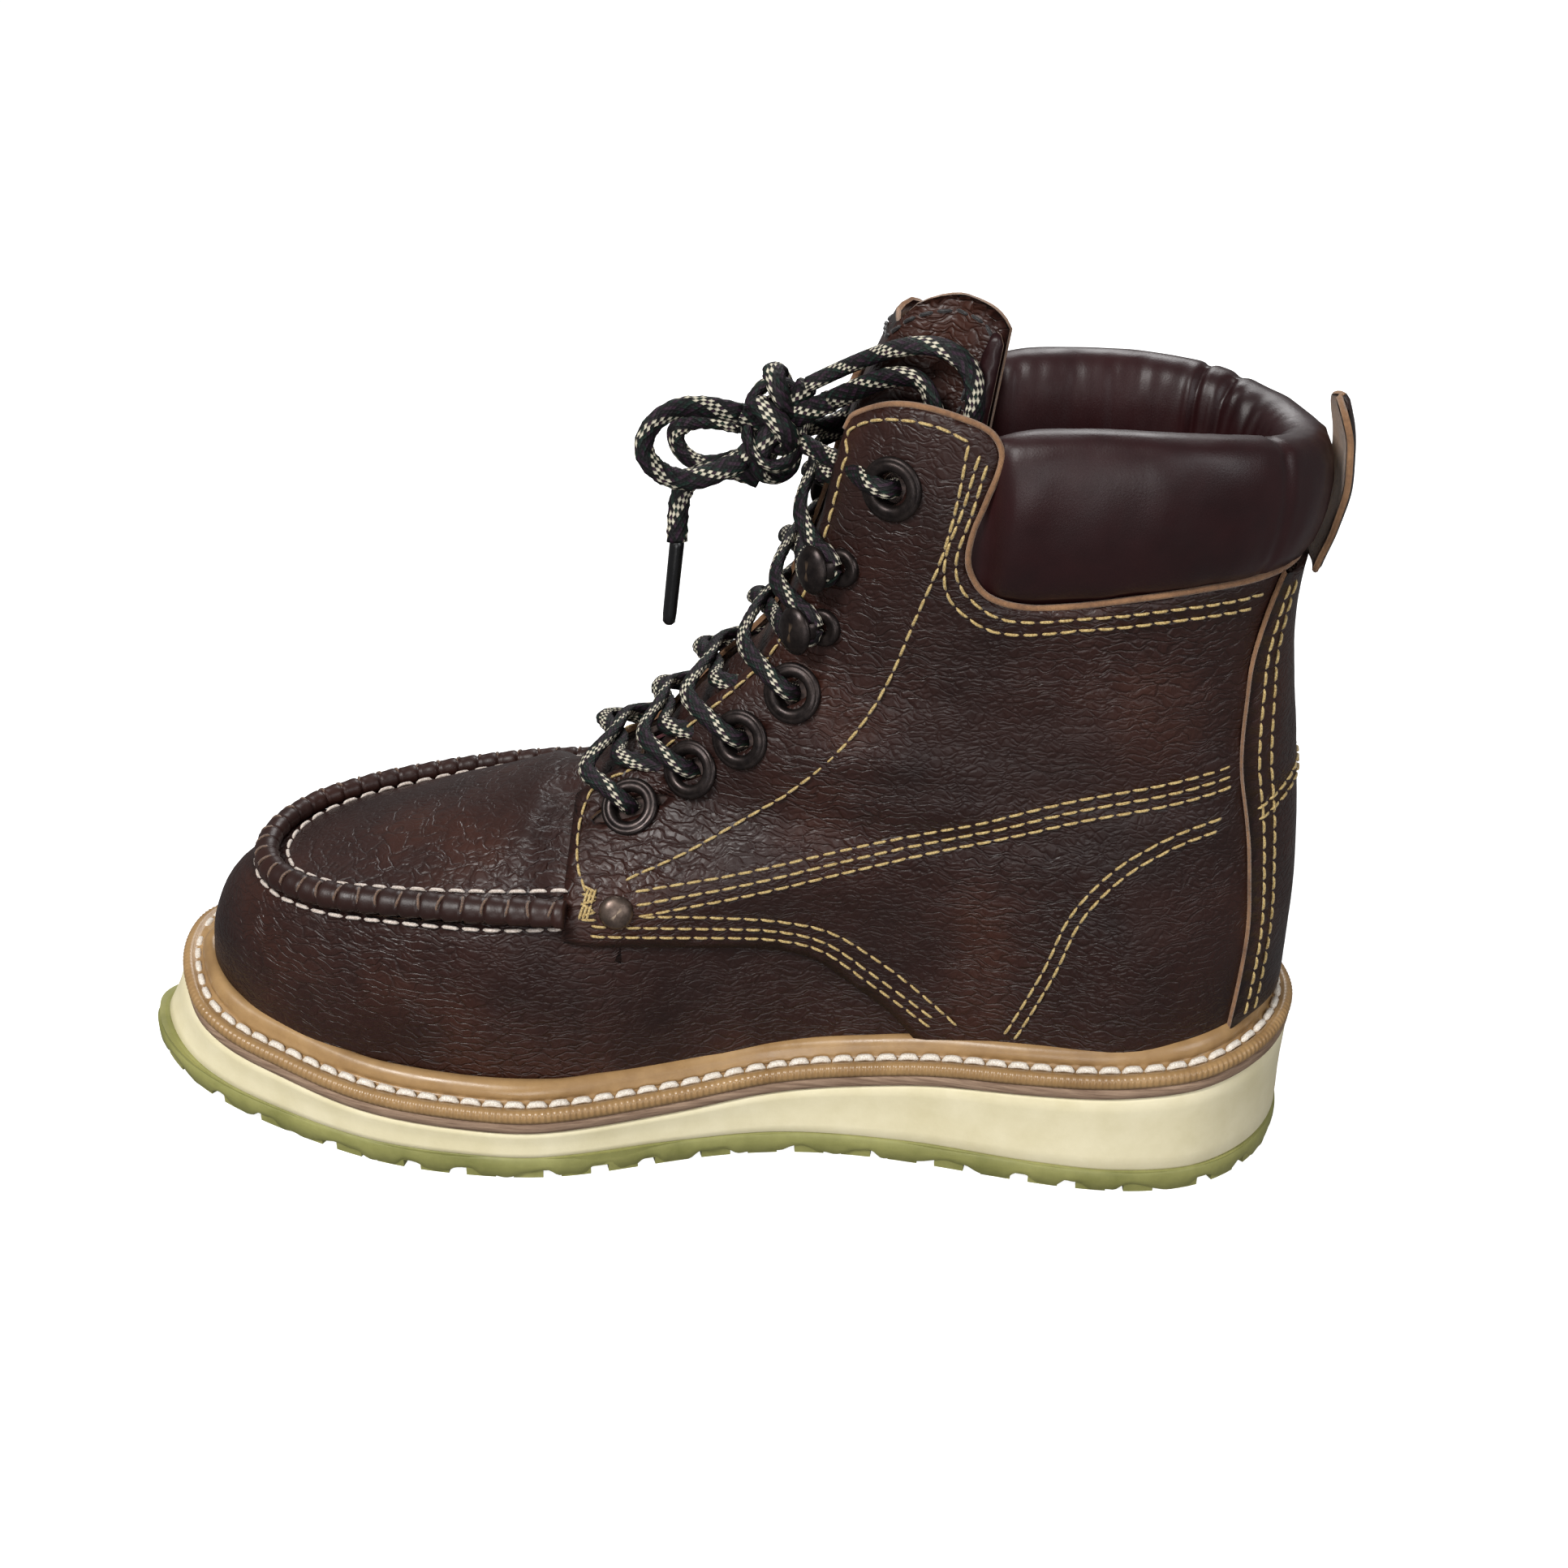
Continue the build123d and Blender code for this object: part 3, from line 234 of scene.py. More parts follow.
def resample(points, step, closed=False, count=None):
    """Points evenly spaced along a polyline of tuples or vectors."""
    points = [Vector(p) for p in points]
    if closed:
        points.append(points[0])
    lengths = [0.0]
    for a, b in zip(points, points[1:]):
        lengths.append(lengths[-1] + (b - a).length)
    count = count or max(int(round(lengths[-1] / step)), 2)
    result, k = [], 0
    for i in range(count if closed else count + 1):
        at = lengths[-1] * i / count
        while k < len(lengths) - 2 and lengths[k + 1] < at:
            k += 1
        span = max(lengths[k + 1] - lengths[k], 1e-9)
        result.append(points[k].lerp(points[k + 1], (at - lengths[k]) / span))
    return result


def smooth_line(points, step=2.0, closed=False):
    """Evenly spaced points on a smooth curve through given ones."""
    points = [Vector(p) for p in points]
    n = len(points)
    dense = []
    for i in range(n if closed else n - 1):
        if closed:
            p0, p1, p2, p3 = (points[(i + k - 1) % n] for k in range(4))
        else:
            p0, p1, p2, p3 = (points[min(max(i + k - 1, 0), n - 1)] for k in range(4))
        chord = max((p2 - p1).length, 1e-6)
        m1 = (p2 - p0) * (chord / max((p2 - p1).length + (p1 - p0).length, 1e-6))
        m2 = (p3 - p1) * (chord / max((p3 - p2).length + (p2 - p1).length, 1e-6))
        for j in range(8):
            t = j / 8
            dense.append(p1 * (1 + 2 * t) * (1 - t) ** 2 + p2 * t * t * (3 - 2 * t)
                         + m1 * t * (1 - t) ** 2 - m2 * t * t * (1 - t))
    if not closed:
        dense.append(points[-1])
    return resample(dense, step, closed)


def flat_line(points, step):
    """Evenly spaced pairs on a smooth curve through given pairs."""
    return [(p.x, p.y) for p in smooth_line([(*point, 0) for point in points], step)]


def sheet_mesh(name, outer, edge_loops, triangles, normals, thickness, materials,
               body="boot", roundness=0.35):
    """A leather sheet: its face, its back and a rounded rim with the cut edge's material."""
    count = len(outer)
    rim = sorted({i for loop in edge_loops for i in loop})
    place = {i: k for k, i in enumerate(rim)}
    face = [p - n * (roundness if i in place else 0) for i, (p, n) in enumerate(zip(outer, normals))]
    back = [p - n * (thickness - (roundness if i in place else 0))
            for i, (p, n) in enumerate(zip(outer, normals))]
    centre = {}
    for loop in edge_loops:
        for k, i in enumerate(loop):
            ahead, behind = outer[loop[(k + 1) % len(loop)]], outer[loop[k - 1]]
            sideways = (ahead - behind).cross(normals[i])
            centre[i] = sideways.normalized() * roundness if sideways.length > 1e-9 else sideways
    points = face + back
    high, low = {}, {}
    for i in rim:
        high[i] = len(points)
        points.append(outer[i] - normals[i] * roundness * 2.2 + centre[i])
        low[i] = len(points)
        points.append(outer[i] - normals[i] * (thickness - roundness * 2.2) + centre[i])
    faces = [tuple(t) for t in triangles] + [tuple(i + count for i in reversed(t)) for t in triangles]
    indices = [0] * len(triangles) + [1] * len(triangles)
    for loop in edge_loops:
        for k, i in enumerate(loop):
            j = loop[(k + 1) % len(loop)]
            for a, b, c, d in ((i, j, high[j], high[i]), (high[i], high[j], low[j], low[i]),
                               (low[i], low[j], j + count, i + count)):
                faces.append((a, b, c, d))
                indices.append(1)
    return mesh_object(name, points, faces, materials, body, indices)


def panel(name, outline, surface, lift, thickness, materials, body="boot", spacing=2.6,
          stretch=1.0, outward=from_core, relief=None, holes=()):
    """A leather panel: a flat outline filled with triangles and laid on a surface.

    The outline is in (u * stretch, v); surface takes (u, v)."""
    edge = [Vector((p[0], p[1])) for p in outline]
    loops = [list(range(len(edge)))]
    for hole in holes:
        loops.append(list(range(len(edge), len(edge) + len(hole))))
        edge += [Vector(p) for p in hole]
    xs, ys = [p.x for p in edge], [p.y for p in edge]
    fill = []
    for row in range(1, int((max(ys) - min(ys)) / spacing) + 1):
        for column in range(1, int((max(xs) - min(xs)) / spacing) + 1):
            at = Vector((min(xs) + (column + 0.5 * (row % 2)) * spacing, min(ys) + row * spacing))
            if inside_outline(at, edge, loops) and min((at - p).length for p in edge) > spacing * 0.55:
                fill.append(at)
    links = [(loop[k], loop[(k + 1) % len(loop)]) for loop in loops for k in range(len(loop))]
    flat, _, faces, origin, _, _ = delaunay_2d_cdt(edge + fill, links, [], 0, 1e-5)
    faces = [f for f in faces
             if inside_outline(sum((flat[i] for i in f), Vector((0, 0))) / len(f), edge, loops)]
    back_index = {}
    for new, olds in enumerate(origin):
        for old in olds:
            back_index[old] = new
    edge_loops = [[back_index[i] for i in loop] for loop in loops]
    points, normals = [], []
    for p in flat:
        extra = relief(p.x / stretch, p.y) if relief else 0
        point, normal = lifted(surface, p.x / stretch, p.y, lift + extra, outward)
        points.append(point)
        normals.append(normal)
    return sheet_mesh(name, points, edge_loops, facing(points, normals, faces), normals, thickness,
                      materials, body)


def inside_outline(at, edge, loops):
    inside = False
    for loop in loops:
        for k, i in enumerate(loop):
            a, b = edge[i], edge[loop[(k + 1) % len(loop)]]
            if (a.y > at.y) != (b.y > at.y):
                if at.x < a.x + (at.y - a.y) / (b.y - a.y) * (b.x - a.x):
                    inside = not inside
    return inside


def tangent_at(line, k):
    return (line[min(k + 1, len(line) - 1)] - line[max(k - 1, 0)]).normalized()


def search(low, high, below, steps=22):
    """The value between low and high at which below(value) stops being true."""
    for _ in range(steps):
        middle = (low + high) / 2
        if below(middle):
            low = middle
        else:
            high = middle
    return low


def facing(points, normals, faces):
    """The faces, turned to look along their normals."""
    a, b, c = (points[i] for i in faces[0][:3])
    if (b - a).cross(c - a).dot(normals[faces[0][0]]) < 0:
        return [tuple(reversed(face)) for face in faces]
    return faces


def ring_faces(rings, sides, base=0, closed=False):
    """Faces between rings of points, numbered ring by ring from base."""
    faces = []
    for k in range(rings if closed else rings - 1):
        near = base + k * sides
        far = base + (k + 1) % rings * sides
        for j in range(sides):
            ahead = (j + 1) % sides
            faces.append((near + j, near + ahead, far + ahead, far + j))
    return faces


def grid_sheet(name, columns, rows, place, thickness, materials, body="boot",
               roundness=0.35):
    """A sheet from a grid: place(i, j) gives a point of its face and the normal there."""
    points, normals, faces = [], [], []
    for i in range(columns + 1):
        for j in range(rows + 1):
            point, normal = place(i, j)
            points.append(point)
            normals.append(normal)
            if i < columns and j < rows:
                a = i * (rows + 1) + j
                faces.append((a, a + rows + 1, a + rows + 2, a + 1))
    loop = ([j for j in range(rows + 1)]
            + [i * (rows + 1) + rows for i in range(1, columns + 1)]
            + [columns * (rows + 1) + j for j in range(rows - 1, -1, -1)]
            + [i * (rows + 1) for i in range(columns - 1, 0, -1)])
    return sheet_mesh(name, points, [loop], facing(points, normals, faces), normals, thickness,
                      materials, body, roundness)


def oval(wide, high, sides):
    """Points round an oval section, as (side, up)."""
    turns = [j * math.tau / sides for j in range(sides)]
    return [(wide * math.cos(turn), high * math.sin(turn)) for turn in turns]


def tube(path, normals, section):
    """Points, faces and uvs of a section swept along a path.

    section(travelled) gives (side, up) pairs; u is the length travelled."""
    points, uvs, travelled = [], [], 0.0
    n, sides = len(path), len(section(0.0))
    for k, (point, up) in enumerate(zip(path, normals)):
        tangent = tangent_at(path, k)
        across = tangent.cross(up).normalized()
        rise = across.cross(tangent)
        if k:
            travelled += (point - path[k - 1]).length
        for j, (a, b) in enumerate(section(travelled)):
            points.append(point + across * a + rise * b)
            uvs.append((travelled, j / sides))
    ends = [tuple(reversed(range(sides))), tuple((n - 1) * sides + j for j in range(sides))]
    return points, ring_faces(n, sides) + ends, uvs


# ---------------------------------------------------------------- materials
class Surface:
    """A procedural material: nodes are added by kind, and values set by socket name."""

    def __init__(self, name, roughness, metallic=0.0, **fixed):
        self.material = bpy.data.materials.new(name)
        self.material.use_nodes = True
        self.tree = self.material.node_tree
        self.shader = self.tree.nodes["Principled BSDF"]
        self.shader.inputs["Roughness"].default_value = roughness
        self.shader.inputs["Metallic"].default_value = metallic
        for key, value in fixed.items():
            self.shader.inputs[key.replace("_", " ")].default_value = value
        place = self.tree.nodes.new("ShaderNodeTexCoord")
        self.place = place.outputs["Object"]
        self.uv = place.outputs["UV"]

    def node(self, kind, settings=None, **inputs):
        made = self.tree.nodes.new("ShaderNode" + kind)
        for key, value in (settings or {}).items():
            setattr(made, key, value)
        for key, value in inputs.items():
            socket = made.inputs[int(key[1:])] if key[0] == "i" and key[1:].isdigit() \
                else made.inputs[key.replace("_", " ")]
            if isinstance(value, bpy.types.NodeSocket):
                self.tree.links.new(value, socket)
            else:
                socket.default_value = value
        return made

    def noise(self, scale, detail=3.0, roughness=0.5, at=None, stretch=None):
        at = at or self.place
        if stretch:
            at = self.node("Mapping", Vector=at, Scale=stretch).outputs[0]
        return self.node("TexNoise", Vector=at, Scale=scale, Detail=detail,
                         Roughness=roughness).outputs["Fac"]

    def math(self, operation, a, b=0.0, c=0.0):
        return self.node("Math", {"operation": operation}, i0=a, i1=b, i2=c).outputs[0]

    def ramp(self, factor, *stops, constant=False):
        made = self.node("ValToRGB", Fac=factor)
        ramp = made.color_ramp
        if constant:
            ramp.interpolation = "CONSTANT"
        while len(ramp.elements) < len(stops):
            ramp.elements.new(0.5)
        for element, (position, colour) in zip(ramp.elements, stops):
            element.position = position
            element.color = colour if len(colour) == 4 else (*colour, 1)
        return made.outputs[0]

    def cells(self, at, scale):
        """Distance to the nearest edge in a pattern of cells."""
        return self.node("TexVoronoi", {"feature": "DISTANCE_TO_EDGE"}, Vector=at,
                         Scale=scale).outputs["Distance"]

    def mix(self, factor, a, b):
        a, b = (value if isinstance(value, bpy.types.NodeSocket) else (*value, 1)
                for value in (a, b))
        return self.node("Mix", {"data_type": "RGBA"}, i0=factor, i6=a, i7=b).outputs[2]

    def colour(self, socket):
        self.tree.links.new(socket, self.shader.inputs["Base Color"])

    def vary_roughness(self, scale, detail, low, high):
        uneven = self.ramp(self.noise(scale, detail), (0.3, (low,) * 3), (0.7, (high,) * 3))
        self.tree.links.new(uneven, self.shader.inputs["Roughness"])

    def bump(self, height, strength, distance, under=None):
        made = self.node("Bump", Height=height, Strength=strength, Distance=distance)
        if under:
            self.tree.links.new(under, made.inputs["Normal"])
        self.tree.links.new(made.outputs[0], self.shader.inputs["Normal"])
        return made.outputs[0]


def srgb(r, g, b):
    """Linear colour from 0 to 255 display values."""
    return tuple(((c / 255 + 0.055) / 1.055) ** 2.4 if c > 10 else c / 255 / 12.92
                 for c in (r, g, b))


def grained_leather(name, dark, middle, light, grain, depth, roughness):
    """Oiled leather: pebbles, long shallow wrinkles in places, and painted shade darkening the hollows
    of the pebbles and wrinkles.
    """
    look = Surface(name, roughness, Specular_IOR_Level=0.38)
    wander = look.node("TexNoise", Vector=look.place, Scale=150.0).outputs["Color"]
    warped = look.node("VectorMath", {"operation": "MULTIPLY_ADD"}, i0=wander,
                       i1=(0.006, 0.006, 0.006), i2=look.place).outputs[0]
    pebbles = look.node("Mapping", Vector=warped, Scale=(0.7, 0.7, 1.25)).outputs[0]
    cells = look.cells(pebbles, grain)
    wrinkles = look.node("Mapping", Vector=warped, Scale=(0.42, 0.42, 1.7),
                         Rotation=(0, 0.2, 0)).outputs[0]
    folds = look.cells(wrinkles, grain * 0.5)
    pebble = look.ramp(cells, (0.0, (0, 0, 0)), (0.25, (1, 1, 1)))
    crease = look.ramp(folds, (0.0, (0, 0, 0)), (0.1, (1, 1, 1)))
    where = look.ramp(look.noise(24, 2), (0.3, (0, 0, 0)), (0.55, (1, 1, 1)))
    creased = look.mix(where, (0.8, 0.8, 0.8), crease)
    height = look.math("MULTIPLY_ADD", pebble, 0.3, look.math("MULTIPLY", creased, 0.7))
    base = look.ramp(look.noise(26, 3, 0.5), (0.3, dark), (0.52, middle), (0.75, light))
    # Painted shade: the colour darkens towards half the dark tone in the low parts of the pebbles and
    # wrinkles.
    look.colour(look.mix(look.math("MULTIPLY", look.math("SUBTRACT", 1.0, height), 0.4), base,
                         tuple(c * 0.5 for c in dark)))
    look.vary_roughness(45, 3, roughness - 0.06, roughness + 0.08)
    under = look.bump(height, 0.62, depth)
    look.bump(look.noise(1500, 2), 0.12, 0.0001, under)
    return look.material


def smooth_leather(name, dark, light):
    look = Surface(name, 0.42, Specular_IOR_Level=0.35)
    look.colour(look.ramp(look.noise(35, 4, 0.6), (0.3, dark), (0.7, light)))
    pores = look.cells(look.place, 1300.0)
    under = look.bump(look.noise(70, 5, 0.65, stretch=(1, 1, 0.35)), 0.16, 0.001)
    look.bump(pores, 0.25, 0.00012, under)
    look.vary_roughness(90, 3, 0.36, 0.48)
    return look.material


def suede(name, dark, light):
    look = Surface(name, 0.9, Sheen_Weight=0.25, Sheen_Roughness=0.5)
    fibres = look.noise(900, 6, 0.75)
    look.colour(look.ramp(look.math("MULTIPLY_ADD", look.noise(120, 3), 0.5,
                                    look.math("MULTIPLY", fibres, 0.5)),
                          (0.32, dark), (0.66, light)))
    look.bump(fibres, 0.7, 0.0005)
    return look.material


def rubber(name, dark, light, roughness, speckle=500.0, depth=0.00012):
    look = Surface(name, roughness)
    look.colour(look.ramp(look.noise(60, 5, 0.65), (0.32, dark), (0.68, light)))
    look.bump(look.noise(speckle, 4, 0.7), 0.4, depth)
    look.vary_roughness(110, 3, roughness - 0.08, roughness + 0.08)
    return look.material


def sanded_rubber(name, dark, light):
    """The buffed side of the midsole, streaked along the sole."""
    look = Surface(name, 0.8)
    streaks = look.noise(1.0, 5, 0.7, stretch=(90, 90, 1500))
    look.colour(look.ramp(streaks, (0.35, dark), (0.65, light)))
    look.bump(streaks, 0.5, 0.0004)
    return look.material


def dark_metal(name, dark, light, worn):
    look = Surface(name, 0.38, 0.85)
    base = look.ramp(look.noise(400, 5, 0.7), (0.35, dark), (0.65, light))
    edge = look.ramp(look.node("NewGeometry").outputs["Pointiness"], (0.52, (0, 0, 0)),
                     (0.6, (1, 1, 1)))
    look.colour(look.mix(edge, base, worn))
    look.vary_roughness(250, 4, 0.28, 0.5)
    look.bump(look.noise(900, 3), 0.15, 0.0001)
    return look.material


def thread(name, dark, light):
    """Twisted sewing thread."""
    look = Surface(name, 0.55, Sheen_Weight=0.3)
    twist = look.noise(2600, 2, 0.5)
    look.colour(look.ramp(twist, (0.35, dark), (0.65, light)))
    look.bump(twist, 0.6, 0.0002)
    return look.material


def woven(name, dark, light, scale=1400.0):
    look = Surface(name, 0.9, Sheen_Weight=0.15)
    across = look.node("TexWave", {"bands_direction": "X"}, Vector=look.place,
                       Scale=scale / 8).outputs["Fac"]
    along = look.node("TexWave", {"bands_direction": "Z"}, Vector=look.place,
                      Scale=scale / 8).outputs["Fac"]
    weave = look.math("MAXIMUM", across, along)
    look.colour(look.ramp(look.math("MULTIPLY_ADD", weave, 0.6, look.math(
        "MULTIPLY", look.noise(80, 4), 0.5)), (0.3, dark), (0.8, light)))
    look.bump(weave, 0.5, 0.0003)
    return look.material


LACE_YARNS = 16
LACE_STEP = 1.75


def braid(name):
    """Braided lace: yarns of each hand keep one colour all along; u is length, v is round."""
    look = Surface(name, 0.62, Specular_IOR_Level=0.3)
    parts = look.node("SeparateXYZ", Vector=look.uv).outputs
    along = look.math("DIVIDE", parts[0], LACE_STEP)
    round_it = look.math("MULTIPLY", parts[1], float(LACE_YARNS))
    right = look.math("ADD", round_it, along)
    left = look.math("SUBTRACT", round_it, along)
    right_cell, left_cell = look.math("FLOOR", right), look.math("FLOOR", left)
    parity = look.math("PINGPONG", look.math("ADD", right_cell, left_cell), 1.0)
    right_yarn = look.math("FLOORED_MODULO", right_cell, float(LACE_YARNS))
    left_yarn = look.math("FLOORED_MODULO", left_cell, float(LACE_YARNS))
    black, white = srgb(11, 10, 12), srgb(212, 205, 184)
    purple, green = srgb(44, 24, 40), srgb(17, 38, 30)
    plain = [black, black, purple, black, green, black, black, purple]
    hands = []
    for yarn, colours in ((right_yarn, [white] * 3 + plain[:5] + [white] * 2 + plain[:6]),
                          (left_yarn, plain + plain)):
        stops = [(k / LACE_YARNS, colour) for k, colour in enumerate(colours[:LACE_YARNS])]
        place = look.math("DIVIDE", look.math("ADD", yarn, 0.5), float(LACE_YARNS))
        hands.append(look.ramp(place, *stops, constant=True))
    colours = look.node("Mix", {"data_type": "RGBA"}, i0=parity, i6=hands[0],
                        i7=hands[1]).outputs[2]
    across = look.math("PINGPONG", right, 0.5)
    edge = look.math("MINIMUM", across, look.math("PINGPONG", left, 0.5))
    shade = look.ramp(edge, (0.0, (0.45, 0.45, 0.45)), (0.3, (1, 1, 1)))
    look.colour(look.node("Mix", {"data_type": "RGBA", "blend_type": "MULTIPLY"}, i0=1.0,
                          i6=colours, i7=shade).outputs[2])
    look.bump(look.math("ADD", edge, look.math("MULTIPLY", look.noise(3000, 2), 0.2)), 0.6, 0.0004)
    return look.material


UPPER = grained_leather("upper_leather", srgb(30, 13, 10), srgb(45, 22, 17), srgb(66, 35, 24),
                        560.0, 0.00055, 0.42)
EDGE = suede("cut_edge", srgb(92, 62, 42), srgb(160, 118, 82))
FLESH = suede("flesh_side", srgb(98, 68, 46), srgb(158, 118, 82))
COLLAR = smooth_leather("collar_leather", srgb(30, 10, 12), srgb(46, 18, 20))
ROLLED = smooth_leather("seam_leather", srgb(30, 14, 12), srgb(50, 26, 20))
WELT_RUBBER = rubber("welt_rubber", srgb(138, 106, 68), srgb(172, 138, 94), 0.32)
TAUPE = sanded_rubber("sanded_midsole", srgb(112, 88, 70), srgb(160, 134, 112))
CREAM = rubber("wedge_rubber", srgb(222, 211, 172), srgb(236, 226, 192), 0.62, 900.0)
OLIVE = rubber("tread_rubber", srgb(122, 122, 66), srgb(152, 150, 90), 0.55, 700.0, 0.0002)
GUNMETAL = dark_metal("antique_metal", srgb(38, 33, 33), srgb(62, 54, 52), srgb(120, 100, 82))
RIVET_METAL = dark_metal("rivet_metal", srgb(84, 72, 66), srgb(122, 106, 96), srgb(156, 138, 120))
GOLD = thread("gold_thread", srgb(146, 116, 62), srgb(206, 182, 122))
WHITE = thread("white_thread", srgb(176, 160, 148), srgb(224, 212, 202))
WELT_THREAD = thread("welt_thread", srgb(200, 188, 172), srgb(240, 233, 222))
BROWN_THREAD = thread("brown_thread", srgb(66, 46, 36), srgb(116, 88, 68))
BLACK_THREAD = thread("black_thread", srgb(12, 11, 12), srgb(34, 30, 32))
LACE = braid("lace_braid")
LINING = woven("lining_cloth", srgb(54, 24, 28), srgb(92, 46, 50))
FOOTBED = woven("footbed_cloth", srgb(40, 30, 28), srgb(66, 52, 48))
TIP = rubber("aglet_plastic", srgb(9, 9, 10), srgb(20, 20, 22), 0.25, 300.0)

CARRIED = {"steel_shank": GUNMETAL, "steel_toe_cap": GUNMETAL,
           "gemming_rib": LINING, "cork_filler": EDGE, "insole_board": EDGE,
           "toe_cap_edging": TIP, "vamp_lining": LINING, "heel_counter": EDGE,
           "outsole": OLIVE}
for node, material in CARRIED.items():
    cad_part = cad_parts[node]
    if not cad_part.data.materials:
        cad_part.data.materials.append(material)
    for place in cad_part.material_slots:
        place.material = material


# ---------------------------------------------------------------- leather panels
SIDES = ((-1, "medial"), (1, "lateral"))
STRETCH = 190.0
FLAP_GAP = [(92, 12.5), (104, 11.5), (112, 13), (120, 14.6), (134, 15.2), (150, 17), (190, 18.5)]


FLAP_FRONT_X = -35.2


def flap_edge_x(z, side):
    """Where the flap's front edge is at height z."""
    low = side_range(z)[0]
    edge = search(low, low + 60, lambda x: half_width(x, z, side) < between(FLAP_GAP, z), 24)
    return max(edge, FLAP_FRONT_X)


QUARTER_TOP = [(29.6, 190), (31.5, 193.6), (38.2, 197.9), (45.4, 199.3), (54.2, 198.3),
               (61.6, 195.7), (64.2, 190.6), (61.4, 180.2), (58.9, 172.3), (58.6, 164.3),
               (62.9, 157.6), (71.3, 155), (82.1, 155.7), (96.3, 158.2), (110.8, 160),
               (126, 160.6), (138, 161)]
VAMP_CUT = [(46, 41.5), (36, 49), (26, 56), (14, 59.3), (-5, 61), (-30, 63.4)]


def bottom_z(x):
    """Where the upper meets the welt."""
    return between(WEDGE_TOP, x) + WELT_TOP + 0.5


def to_domain(points):
    return [(side_s(x, z) * STRETCH, z) for x, z in points]


def quarter_outline(side):
    """Outline of a quarter in (s, z)."""
    top = flat_line(QUARTER_TOP, 2.4)
    back = [(side_range(z)[1] - 3, z) for z in range(160, 41, -3)]
    floor = [(x, bottom_z(x)) for x in range(138, 57, -3)]
    cut = flat_line([(55, bottom_z(55)), *VAMP_CUT], 2.4)
    front = [(flap_edge_x(z, side), z) for z in range(67, 190, 3)]
    corner = [(-34.6, 64.4)]
    return to_domain(cut + corner + front + top + back + floor)


def quarter_relief(s, z):
    """Soft waves of worn leather, deepest at the ankle."""
    at = Vector((s * 9, z * 0.05, 0))
    ankle = math.exp(-((z - 112) / 34) ** 2)
    return 0.5 * noise.noise(at) + ankle * 0.7 * noise.noise(Vector((s * 5, z * 0.12, 3)))


def build_quarters():
    for side, name in SIDES:
        holes = [[(side_s(x, z) * STRETCH + a, z + b) for a, b in oval(4.3, 4.0, 12)]
                 for x, z in [*EYELETS, TOP_EYELET]]
        piece = panel(f"quarter_{name}_leather", quarter_outline(side),
                      lambda s, z, side=side: side_surface(s, z, side), QUARTER_LIFT, LEATHER,
                      [UPPER, EDGE], stretch=STRETCH, relief=quarter_relief,
                      holes=holes)
        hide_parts(f"quarter_{name}")


def build_cut_edges():
    """The raw edge of the leather along the top of each quarter."""
    for side, name in SIDES:
        line, normals = [], []
        for x, z in flat_line(QUARTER_TOP, 1.0):
            point, normal = on_side(x, z, side, QUARTER_LIFT - 0.75)
            line.append(point)
            normals.append(normal)
        points, faces, uvs = tube(line, normals, lambda travelled: oval(0.75, 0.95, 8))
        mesh_object(f"cut_edge_{name}", points, faces, [EDGE], uvs=uvs)


WALL_REAR_X = 56.0


def wall_surface(s, v):
    """Toe wall at s round the toe, v from 0 at the welt to 1 at its top edge."""
    x, _, _ = ring_surface(40, s, WALL_REAR_X, True)
    low = bottom_z(x) - 3
    z = low + v * (wall_top(x) - low)
    return ring_surface(z, s, WALL_REAR_X, True)


def wall_top(x):
    if x < -34:
        return seam_height(x) - 0.4
    return max(between([(-36, 71), (-10, 68), (14, 64), (34, 54), (46, 44), (56, 36)], x), 34)


def build_wall():
    columns, rows = 150, 16

    def place(i, j):
        s = -0.998 + 1.996 * i / columns
        point, normal = lifted(wall_surface, s, 0.02 + 0.96 * j / rows, WALL_LIFT, from_core)
        return point + normal * (0.45 * noise.noise(point * 0.06)), normal

    piece = grid_sheet("toe_wall_leather", columns, rows, place, LEATHER, [UPPER, EDGE])
    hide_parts("vamp_wall")


def under_flap(x, y):
    """Height just under the flap's leather at x and y."""
    side = -1 if y < 0 else 1
    return search(60.0, crown(x), lambda z: half_width(x, z, side) > abs(y), 14) - 1.6


def vamp_height(x, y):
    """The vamp's top, dipping under the flaps at its rear."""
    height = plug_height(x, y)
    tucked = smooth_step(x, -47, -37)
    if tucked > 0:
        height += tucked * (min(height, under_flap(x, y)) - height)
    return height


PLUG_TOE, PLUG_REAR = -117.3, -21


def build_plug():
    columns, rows = 60, 40

    def place(i, j):
        x = PLUG_TOE + (PLUG_REAR - PLUG_TOE) * (i / columns) ** 1.35
        y = (j / rows * 2 - 1) * 0.97 * seam_width(x)
        point = Vector((x, centre_line(x) + y, vamp_height(x, y)))
        slope_x = (vamp_height(x + 1, y) - vamp_height(x - 1, y)) / 2
        slope_y = (vamp_height(x, y + 1) - vamp_height(x, y - 1)) / 2
        normal = Vector((-slope_x, -slope_y, 1)).normalized()
        return point + normal * (WALL_LIFT + 0.5 * noise.noise(point * 0.05)), normal

    piece = grid_sheet("vamp_plug_leather", columns, rows, place, LEATHER, [UPPER, EDGE])
    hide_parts("vamp_plug")


def seam_point(t):
    """Point of the moc seam at t from -1 (medial rear) to 1 (lateral rear)."""
    along = abs(t) * (len(SEAM_LINE) - 1)
    k = min(int(along), len(SEAM_LINE) - 2)
    p = SEAM_LINE[k].lerp(SEAM_LINE[k + 1], along - k)
    side = -1 if t < 0 else 1
    return Vector((p.x, centre_line(p.x) + side * max(p.y, 0), p.z))


SEAM_LINE = smooth_line([(-118.2, 0, 67), (-117.3, 7, 67), (-114.6, 14, 67.1), (-109.5, 21, 67.4),
                         (-97, 29.6, 68), (-81, 35, 69.2), (-65, 38.8, 70.4), (-50, 41, 71.4),
                         (-34, 42, 72)], 1.0)


